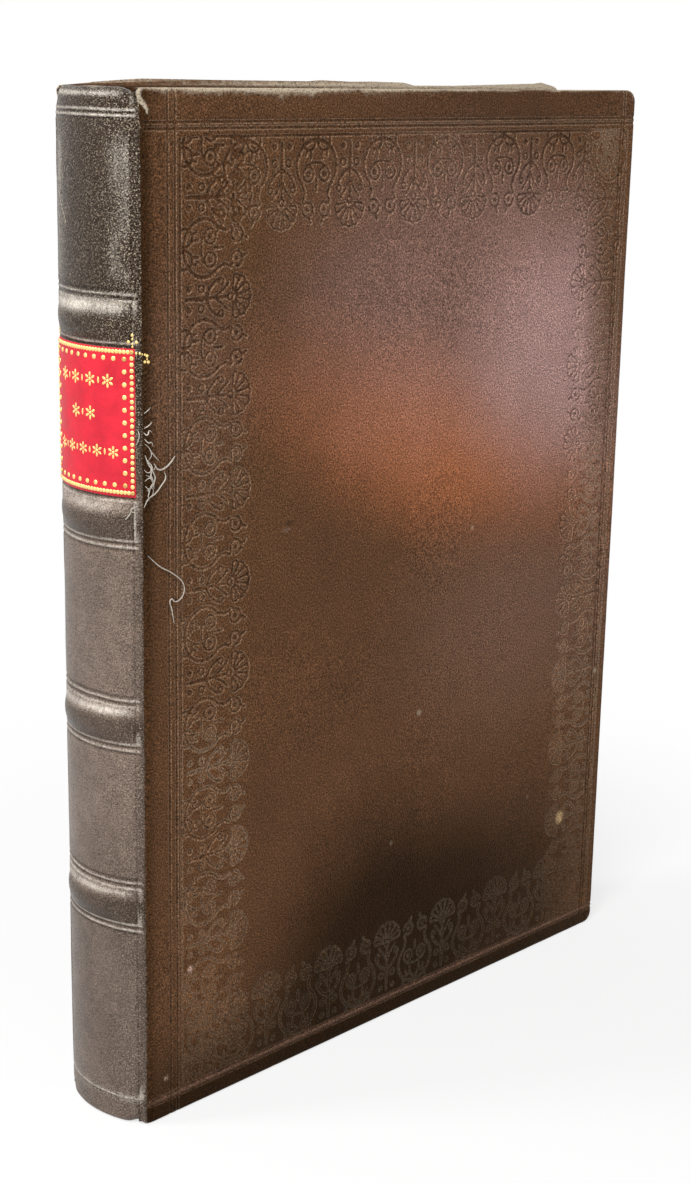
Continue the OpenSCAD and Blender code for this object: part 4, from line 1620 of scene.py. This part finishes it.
def build_endband_tree():
    """Core wound with thread in two colours by turns."""
    tree, given, result = new_group(
        "Endband", "GeometryNodeTree",
        (("Path", "Geometry", None), ("Pitch", "Float", 0.0004),
         ("Core Radius", "Float", 0.0008), ("Thread Radius", "Float", 0.0002),
         ("Core", "Material", None), ("First Thread", "Material", None),
         ("Second Thread", "Material", None)),
        (("Endband", "Geometry"),))
    curve = add_node(tree, "GeometryNodeMeshToCurve", {"Mesh": given["Path"]}).outputs[0]
    round_core = add_node(tree, "GeometryNodeCurvePrimitiveCircle", {
        "Radius": given["Core Radius"], "Resolution": 16})
    core = add_node(tree, "GeometryNodeCurveToMesh", {
        "Curve": curve, "Profile Curve": round_core.outputs[0], "Fill Caps": True})
    core = add_node(tree, "GeometryNodeSetMaterial", {0: core.outputs[0],
                                                      "Material": given["Core"]})
    spots = add_node(tree, "GeometryNodeCurveToPoints", {"Curve": curve, "Length": given["Pitch"]},
                     mode="LENGTH")
    turn = add_node(tree, "GeometryNodeCurvePrimitiveCircle", {
        "Radius": given["Core Radius"], "Resolution": 14})
    thread = add_node(tree, "GeometryNodeCurvePrimitiveCircle", {
        "Radius": given["Thread Radius"], "Resolution": 5})
    ring = add_node(tree, "GeometryNodeCurveToMesh", {"Curve": turn.outputs[0],
                                                      "Profile Curve": thread.outputs[0]})
    index = add_node(tree, "GeometryNodeInputIndex").outputs[0]
    odd = math_node(tree, "MODULO", index, 2.0)
    join = add_node(tree, "GeometryNodeJoinGeometry")
    tree.links.new(core.outputs[0], join.inputs[0])
    for wanted, label in ((0.0, "First Thread"), (1.0, "Second Thread")):
        chosen = math_node(tree, "COMPARE", odd, wanted, 0.1)
        rings = add_node(tree, "GeometryNodeInstanceOnPoints", {
            "Points": spots.outputs["Points"], "Selection": chosen, "Instance": ring.outputs[0],
            "Rotation": spots.outputs["Rotation"]})
        real = add_node(tree, "GeometryNodeRealizeInstances", {0: rings.outputs[0]})
        done = add_node(tree, "GeometryNodeSetMaterial", {0: real.outputs[0],
                                                          "Material": given[label]})
        tree.links.new(done.outputs[0], join.inputs[0])
    tree.links.new(join.outputs[0], result["Endband"])
    return tree


def grown(name, paths, tree, **values):
    """Plain mesh of what a tree grows along paths of points in millimetres."""
    points, edges = [], []
    for path in paths:
        first = len(points)
        points += [tuple(np.asarray(point) * MM) for point in path]
        edges += [(first + k, first + k + 1) for k in range(len(path) - 1)]
    mesh = bpy.data.meshes.new(name)
    mesh.from_pydata(points, edges, [])
    piece = add_object(name, mesh)
    modifier = piece.modifiers.new("Grow", "NODES")
    modifier.node_group = tree
    for item in tree.interface.items_tree:
        label = item.name.replace(" ", "_")
        if item.item_type == "SOCKET" and item.in_out == "INPUT" and label in values:
            modifier[item.identifier] = values[label]
    baked(piece)
    piece.data.polygons.foreach_set("use_smooth", np.ones(len(piece.data.polygons), bool))
    return piece


def bead_paths():
    """Paths of the outer beads and of the inner dots round the label."""
    low, high = LABEL_Z
    outer, inner = [], []
    for paths, inset, top, bottom in ((outer, 0.65, high - 0.7, low + 1.0),
                                      (inner, 2.3, high - 2.2, low + 2.5)):
        edge = LABEL_HALF - inset
        across = np.linspace(-edge, edge, 60)
        up = np.linspace(bottom, top, 40)
        paths += [label_point(across, top), label_point(across, bottom)]
        paths += [label_point(side * edge, up) for side in (-1, 1)]
    return outer, inner


# Loose fibres at the joint, by distance from the joint, lift off the leather and height

FIBRE_RADIUS = 0.17
FIBRES = (
    (1.0, ((2.9, 0.3, 154.4), (4.0, 0.5, 153.0), (5.7, 0.6, 153.2), (7.3, 0.5, 154.1),
           (8.7, 0.3, 155.3))),
    (0.7, ((1.6, 0.3, 157.8), (2.4, 0.5, 156.6), (3.6, 0.4, 155.4), (4.3, 0.3, 154.8))),
    (0.9, ((0.6, 0.3, 156.4), (1.2, 0.5, 154.6), (2.2, 0.7, 152.9), (2.9, 0.6, 151.1),
           (1.9, 0.5, 149.6), (1.5, 0.3, 148.3))),
    (0.9, ((1.0, 0.4, 155.4), (2.0, 0.7, 153.8), (1.6, 0.8, 152.0), (2.4, 0.5, 150.4),
           (2.9, 0.3, 149.0))),
    (0.8, ((5.7, 0.3, 152.4), (5.9, 0.5, 151.0), (4.7, 0.5, 149.5), (3.2, 0.5, 148.1),
           (1.1, 0.5, 147.0), (0.3, 0.3, 145.3))),
    (0.7, ((1.1, 0.3, 134.7), (4.1, 0.4, 132.0), (8.0, 0.5, 129.6), (10.6, 0.5, 127.2),
           (11.1, 0.4, 125.4), (10.2, 0.4, 123.8), (8.3, 0.5, 123.4), (7.4, 0.4, 124.1),
           (7.6, 0.4, 121.6), (8.3, 0.3, 118.5))),
    (0.6, ((0.4, 0.4, 165.3), (1.2, 0.6, 166.0), (2.0, 0.3, 166.4))),
    (0.5, ((0.5, 0.3, 158.9), (1.4, 0.6, 157.9), (1.7, 0.9, 156.4), (1.1, 0.5, 155.2))),
    (0.5, ((0.7, 0.3, 152.2), (1.5, 0.8, 151.7), (2.3, 1.0, 150.3), (1.5, 0.6, 149.1))),
    (0.6, ((0.5, 0.3, 150.9), (1.2, 0.8, 151.6), (2.1, 0.7, 151.2), (2.0, 0.4, 152.3))),
    (0.5, ((0.9, 0.3, 148.8), (1.8, 0.6, 149.4), (2.6, 0.4, 148.6), (2.2, 0.3, 147.4))),
    (0.5, ((1.9, 0.3, 153.9), (2.5, 0.7, 153.2), (3.2, 0.5, 153.8), (3.7, 0.3, 153.0))),
    (0.6, ((0.6, 0.3, 149.9), (1.1, 0.8, 148.9), (0.9, 0.9, 147.6), (1.5, 0.4, 146.7))),
    (0.5, ((0.3, 0.4, 153.4), (0.9, 0.9, 152.8), (1.6, 0.9, 153.3), (1.3, 0.4, 154.2))),
    (0.8, ((0.4, 0.4, 162.2), (1.2, 0.7, 162.7), (2.4, 0.3, 163.3))),
    (0.8, ((0.3, 0.4, 161.3), (0.8, 0.8, 160.8), (1.4, 0.6, 161.6), (2.3, 0.3, 161.2))),
    (0.7, ((0.5, 0.3, 159.9), (1.0, 0.8, 159.2), (2.1, 0.6, 159.0), (2.6, 0.3, 158.1))),
)
SPINE_FIBRES = (
    (0.8, ((-2.3, 0.3, 144.5), (-3.0, 0.6, 143.3), (-3.9, 0.3, 142.3))),
    (0.7, ((-1.0, 0.3, 145.6), (-1.9, 0.6, 145.2), (-2.4, 0.5, 144.6), (-1.4, 0.3, 144.1))),
    (0.6, ((-0.9, 0.3, 161.9), (-0.6, 0.8, 160.9), (-0.8, 0.6, 159.6), (-1.3, 0.3, 158.6))),
)


def fibre_mesh(name, fibres):
    """Fine threads with tapered ends."""
    curve = bpy.data.curves.new(name, "CURVE")
    curve.dimensions = "3D"
    curve.bevel_depth = FIBRE_RADIUS * MM
    curve.bevel_resolution = 2
    curve.resolution_u = 8
    curve.use_fill_caps = True
    for width, points in fibres:
        line = curve.splines.new("BEZIER")
        line.bezier_points.add(len(points) - 1)
        for k, ((u, lift, z), knot) in enumerate(zip(points, line.bezier_points)):
            knot.co = Vector(cover_point(u, z, lift)) * MM
            knot.handle_left_type = knot.handle_right_type = "AUTO"
            ends = k in (0, len(points) - 1)
            knot.radius = width * (0.45 if ends else 1.0)
    piece = add_object(name, curve)
    return baked(piece)


# Operators, one for each piece or group of like pieces

FINISHES = {}


def finish(key):
    """Material of a finish, made the first time that it is asked for."""
    colours = bpy.context.scene.leather_book_colours
    makers = {
        "cover": lambda: cover_finish(colours),
        "spine": lambda: spine_finish(colours),
        "label": lambda: label_finish(colours),
        "gold": lambda: gold_finish(colours),
        "leaves": lambda: paper_finish("leaf_edge_finish", colours, 0.9, edges=True),
        "endpaper": lambda: paper_finish("endpaper_finish", colours, 1.0, foxing=0.8),
        "lining": lambda: paper_finish("lining_paper_finish", colours, 0.7, foxing=0.2),
        "cord": lambda: fibre_finish("hemp_cord_finish", (0.36, 0.25, 0.13),
                                     (2500, 2500, 2500)),
        "board": lambda: fibre_finish("millboard_finish", (0.34, 0.24, 0.14),
                                      (900, 2600, 900)),
        "red_thread": lambda: fibre_finish("red_silk_finish", (0.36, 0.03, 0.03),
                                           (4000, 4000, 4000), rough=0.5),
        "pale_thread": lambda: fibre_finish("pale_silk_finish", (0.62, 0.52, 0.36),
                                            (4000, 4000, 4000), rough=0.5),
        "fibre": lambda: fibre_finish("loose_fibre_finish", (0.62, 0.56, 0.48),
                                      (3000, 3000, 3000)),
    }
    if key not in FINISHES:
        FINISHES[key] = makers[key]()
    return FINISHES[key]


def across_joint(piece):
    """Bakes a piece's place into its mesh."""
    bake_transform(piece)


class LEATHERBOOK_OT_covers(bpy.types.Operator):
    """Tooled leather over both boards, carried across the joints"""
    bl_idname = "leather_book.covers"
    bl_label = "Cover Leather"

    def execute(self, context):
        tooling = context.scene.leather_book_tooling
        front = cover_leather_mesh(tooling)
        back = mirrored(front, "back_cover_leather")
        swell_corner(back)
        for mesh, name, cover, side, seed in (
                (front, "front", "front_cover", -1, FRONT_SEED),
                (back, "back", "back_cover", 1, BACK_SEED)):
            dress_cover(mesh, tooling, seed)
            piece = add_piece(f"{name}_cover_skin", mesh, finish("cover"), finish("spine"))
            centres = np.empty(len(mesh.polygons) * 3, np.float32)
            mesh.polygons.foreach_get("center", centres)
            on_spine = centres[::3] / MM < JOINT_X + 0.2
            mesh.polygons.foreach_set("material_index", on_spine.astype(np.int32))
            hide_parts(f"{name}_leather")
            across_joint(piece)
        return {"FINISHED"}


class LEATHERBOOK_OT_spine(bpy.types.Operator):
    """Leather of the spine over its raised bands, with the caps"""
    bl_idname = "leather_book.spine"
    bl_label = "Spine Leather"

    def execute(self, context):
        mesh = spine_leather_mesh(context.scene.leather_book_tooling)
        dress_spine(mesh)
        piece = add_piece("spine_skin", mesh, finish("spine"))
        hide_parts("spine_leather")
        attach(piece, "book_block")
        return {"FINISHED"}


class LEATHERBOOK_OT_label(bpy.types.Operator):
    """Red title label with its gilding"""
    bl_idname = "leather_book.label"
    bl_label = "Title Label"

    def execute(self, context):
        settings = context.scene.leather_book_label
        piece = add_piece("label_skin", label_mesh(), finish("label"))
        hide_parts("title_label")
        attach(piece, "book_block")
        outer, inner = bead_paths()
        tree = build_bead_tree()
        for name, paths, step, radius in (
                ("label_beads", outer[2:], settings.bead_step, settings.bead_radius),
                ("label_rows", outer[:2], settings.row_step, settings.bead_radius),
                ("label_dots", inner, settings.dot_step, settings.dot_radius)):
            beads = grown(name, paths, tree, Step=step, Radius=radius, Flatness=0.35,
                          Axis_X=SPINE_X * MM, Gold=finish("gold"))
            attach(beads, "book_block")
        corner_u, corner_z = LABEL_HALF - 0.7, LABEL_Z[1] - 0.3
        sprigs = [dome for side in (-1, 1) for dome in sprig(side * corner_u, corner_z, math.pi / 2)]
        over_joint = [(u, LABEL_Z[1] - 0.9 + up, r, r, 0) for u, up, r in JOINT_TOOLS]
        sprigs += [(u, LABEL_Z[1] - 0.9, 0.28, 0.28, 0)
                   for u in np.arange(LABEL_HALF + 0.1, HALF_ARC - 0.3, 0.75)]
        for name, domes, surface, body in (
                ("label_tools", gilt_tools(), label_point, "book_block"),
                ("spine_gilding", sprigs, spine_point, "book_block"),
                ("joint_gilding", over_joint, cover_point, "front_cover")):
            tools = add_piece(name, domes_mesh(name, domes, surface), finish("gold"))
            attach(tools, body)
        return {"FINISHED"}


class LEATHERBOOK_OT_leaves(bpy.types.Operator):
    """Sewn leaves with uneven edges, and the endpapers"""
    bl_idname = "leather_book.leaves"
    bl_label = "Leaves and Endpapers"

    def execute(self, context):
        leaves = add_piece("sewn_leaves", leaves_mesh(context.scene.leather_book_pages),
                           finish("leaves"))
        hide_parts("text_block")
        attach(leaves, "book_block")
        front = endpaper_mesh()
        back = mirrored(front, "back_endpaper_sheet")
        for mesh, name, side in ((front, "front", -1), (back, "back", 1)):
            sheet = add_piece(f"{name}_endpaper", mesh, finish("endpaper"))
            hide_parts(f"{name}_pastedown")
            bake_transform(sheet)
        return {"FINISHED"}


class LEATHERBOOK_OT_endbands(bpy.types.Operator):
    """Endbands worked in silk at the head and the tail"""
    bl_idname = "leather_book.endbands"
    bl_label = "Endbands"

    def execute(self, context):
        tree = build_endband_tree()
        for name, up in (("headband", 1), ("tailband", -1)):
            low, high = node_box(name)
            core, thread = 0.72, 0.2
            seat = low[2] + core + thread if up > 0 else high[2] - core - thread
            radius = BLOCK_R - core - thread - 0.1
            reach = math.asin((LEAVES_Y - 1) / radius)
            turn = np.linspace(-reach, reach, 60)
            path = np.stack([SPINE_X - radius * np.cos(turn), radius * np.sin(turn),
                             np.full(len(turn), seat)], 1)
            band = grown(f"{name}_silk", [path], tree, Pitch=0.36 * MM, Core_Radius=core * MM,
                         Thread_Radius=thread * MM, Core=finish("cord"),
                         First_Thread=finish("red_thread"), Second_Thread=finish("pale_thread"))
            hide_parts(name)
            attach(band, "book_block")
        return {"FINISHED"}


class LEATHERBOOK_OT_carried(bpy.types.Operator):
    """Finishes of the boards, slips, cords and linings inside the binding"""
    bl_idname = "leather_book.carried"
    bl_label = "Inner Parts"

    def execute(self, context):
        finishes = {"front_board": "board", "back_board": "board", "front_slips": "cord",
                    "back_slips": "cord", "spine_linings": "lining"}
        finishes.update({f"sewing_cord_{i}": "cord" for i in (1, 2, 3, 4)})
        for name, key in finishes.items():
            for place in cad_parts[name].material_slots:
                place.material = finish(key)
        return {"FINISHED"}


class LEATHERBOOK_OT_fibres(bpy.types.Operator):
    """Loose fibres caught at the front joint"""
    bl_idname = "leather_book.fibres"
    bl_label = "Loose Fibres"

    def execute(self, context):
        for name, fibres, body in (("cover_fibres", FIBRES, "front_cover"),
                                   ("spine_fibres", SPINE_FIBRES, "book_block")):
            piece = fibre_mesh(name, fibres)
            piece.data.materials.append(finish("fibre"))
            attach(piece, body)
        return {"FINISHED"}


def soft_light(name, power, size, spot, aim, colour=(1, 1, 1)):
    """Square lamp at a spot, turned to its aim, both in metres."""
    lamp = bpy.data.lights.new(name, "AREA")
    lamp.energy, lamp.size, lamp.color = power, size, colour
    holder = add_object(name, lamp)
    holder.location = spot
    holder.rotation_euler = (Vector(aim) - Vector(spot)).to_track_quat("-Z", "Y").to_euler()
    return holder


def seen_ray(tree):
    """1 for the rays that show a backdrop: straight, in a mirror or through glass."""
    path = add_node(tree, "ShaderNodeLightPath").outputs
    mirrored_too = math_node(tree, "MAXIMUM", path["Is Camera Ray"], path["Is Glossy Ray"])
    return math_node(tree, "MAXIMUM", mirrored_too, path["Is Transmission Ray"])


def floor_finish():
    """Pale floor that fades to white far from the book."""
    material, tree, shader, place = new_material("floor_finish")
    set_inputs(tree, shader, {"Base Color": (0.80, 0.80, 0.80), "Roughness": 0.9,
                              "Specular IOR Level": 0.1})
    white = add_node(tree, "ShaderNodeEmission", {"Color": (1, 1, 1, 1), "Strength": 1.0})
    away = add_node(tree, "ShaderNodeVectorMath", {0: place}, operation="LENGTH")
    far = ramp(tree, away.outputs["Value"], 0.06, 0.28, 0.72, 1.0)
    blend = add_node(tree, "ShaderNodeMixShader", {
        0: times(tree, far, seen_ray(tree)), 1: shader.outputs[0],
        2: white.outputs[0]})
    tree.links.new(blend.outputs[0], tree.nodes["Material Output"].inputs["Surface"])
    return material


class LEATHERBOOK_OT_stage(bpy.types.Operator):
    """Pale floor, soft lights and the photograph's camera"""
    bl_idname = "leather_book.stage"
    bl_label = "Stage"

    def execute(self, context):
        scene = context.scene
        settings = scene.leather_book_stage
        scene.view_settings.view_transform = "Standard"
        half, floor_z = 6000.0, -0.05
        corners = [(-half, -half, floor_z), (half, -half, floor_z), (half, half, floor_z),
                   (-half, half, floor_z)]
        floor = add_piece("floor", mesh_from_arrays("floor", corners, [(0, 1, 2, 3)]),
                          floor_finish())

        middle = (0.0, 0.0, 0.115)
        soft_light("key_light", settings.key_power, 0.4, (-0.60, -0.34, 0.86), middle)
        soft_light("sheen_light", settings.sheen_power, 0.4, (1.0, -0.75, 0.16), middle)
        soft_light("band_light", settings.band_power, 0.22, (-0.62, 0.38, 0.78), middle)

        world = bpy.data.worlds.new("studio")
        scene.world = world
        world.use_nodes = True
        tree = world.node_tree
        back = tree.nodes["Background"]
        level = mix_value(tree, seen_ray(tree), settings.world_level, 1.0)
        back.inputs["Color"].default_value = (1, 1, 1, 1)
        tree.links.new(level, back.inputs["Strength"])

        lens = bpy.data.cameras.new("photo_camera")
        lens.lens = EYE_LENS
        lens.sensor_width = 36
        camera = add_object("photo_camera", lens)
        ahead = Vector((math.sin(EYE_YAW) * math.cos(EYE_PITCH),
                        math.cos(EYE_YAW) * math.cos(EYE_PITCH), -math.sin(EYE_PITCH)))
        right = Vector((math.cos(EYE_YAW), -math.sin(EYE_YAW), 0))
        up = right.cross(ahead)
        tilted = math.cos(EYE_ROLL) * right + math.sin(EYE_ROLL) * up
        upright = math.cos(EYE_ROLL) * up - math.sin(EYE_ROLL) * right
        turn = Matrix((tilted, upright, -ahead)).transposed()
        camera.matrix_world = Matrix.Translation(EYE) @ turn.to_4x4()
        scene.camera = camera
        return {"FINISHED"}


class LEATHERBOOK_PT_panel(bpy.types.Panel):
    """Pieces and settings of the leather book"""
    bl_label = "Leather Book"
    bl_idname = "LEATHERBOOK_PT_panel"
    bl_space_type = "VIEW_3D"
    bl_region_type = "UI"
    bl_category = "Leather Book"

    def draw(self, context):
        for operator in OPERATORS:
            self.layout.operator(operator.bl_idname)
        for name in SETTINGS:
            box = self.layout.box()
            group = getattr(context.scene, name)
            for key in group.bl_rna.properties.keys():
                if key not in ("rna_type", "name"):
                    box.prop(group, key)


OPERATORS = (
    LEATHERBOOK_OT_covers, LEATHERBOOK_OT_spine, LEATHERBOOK_OT_label, LEATHERBOOK_OT_leaves,
    LEATHERBOOK_OT_endbands, LEATHERBOOK_OT_carried, LEATHERBOOK_OT_fibres,
    LEATHERBOOK_OT_stage,
)
SETTINGS = {
    "leather_book_tooling": LeatherBookTooling,
    "leather_book_colours": LeatherBookColours,
    "leather_book_label": LeatherBookLabel,
    "leather_book_pages": LeatherBookPages,
    "leather_book_stage": LeatherBookStage,
}


def register():
    for cls in (*SETTINGS.values(), *OPERATORS, LEATHERBOOK_PT_panel):
        bpy.utils.register_class(cls)
    for name, group in SETTINGS.items():
        setattr(bpy.types.Scene, name, PointerProperty(type=group))


def unregister():
    for name in SETTINGS:
        delattr(bpy.types.Scene, name)
    for cls in (LEATHERBOOK_PT_panel, *reversed(OPERATORS), *SETTINGS.values()):
        bpy.utils.unregister_class(cls)


def main():
    """Builds every piece."""
    register()
    for operator in OPERATORS:
        module, name = operator.bl_idname.split(".")
        getattr(getattr(bpy.ops, module), name)()


if __name__ == "__main__":
    main()
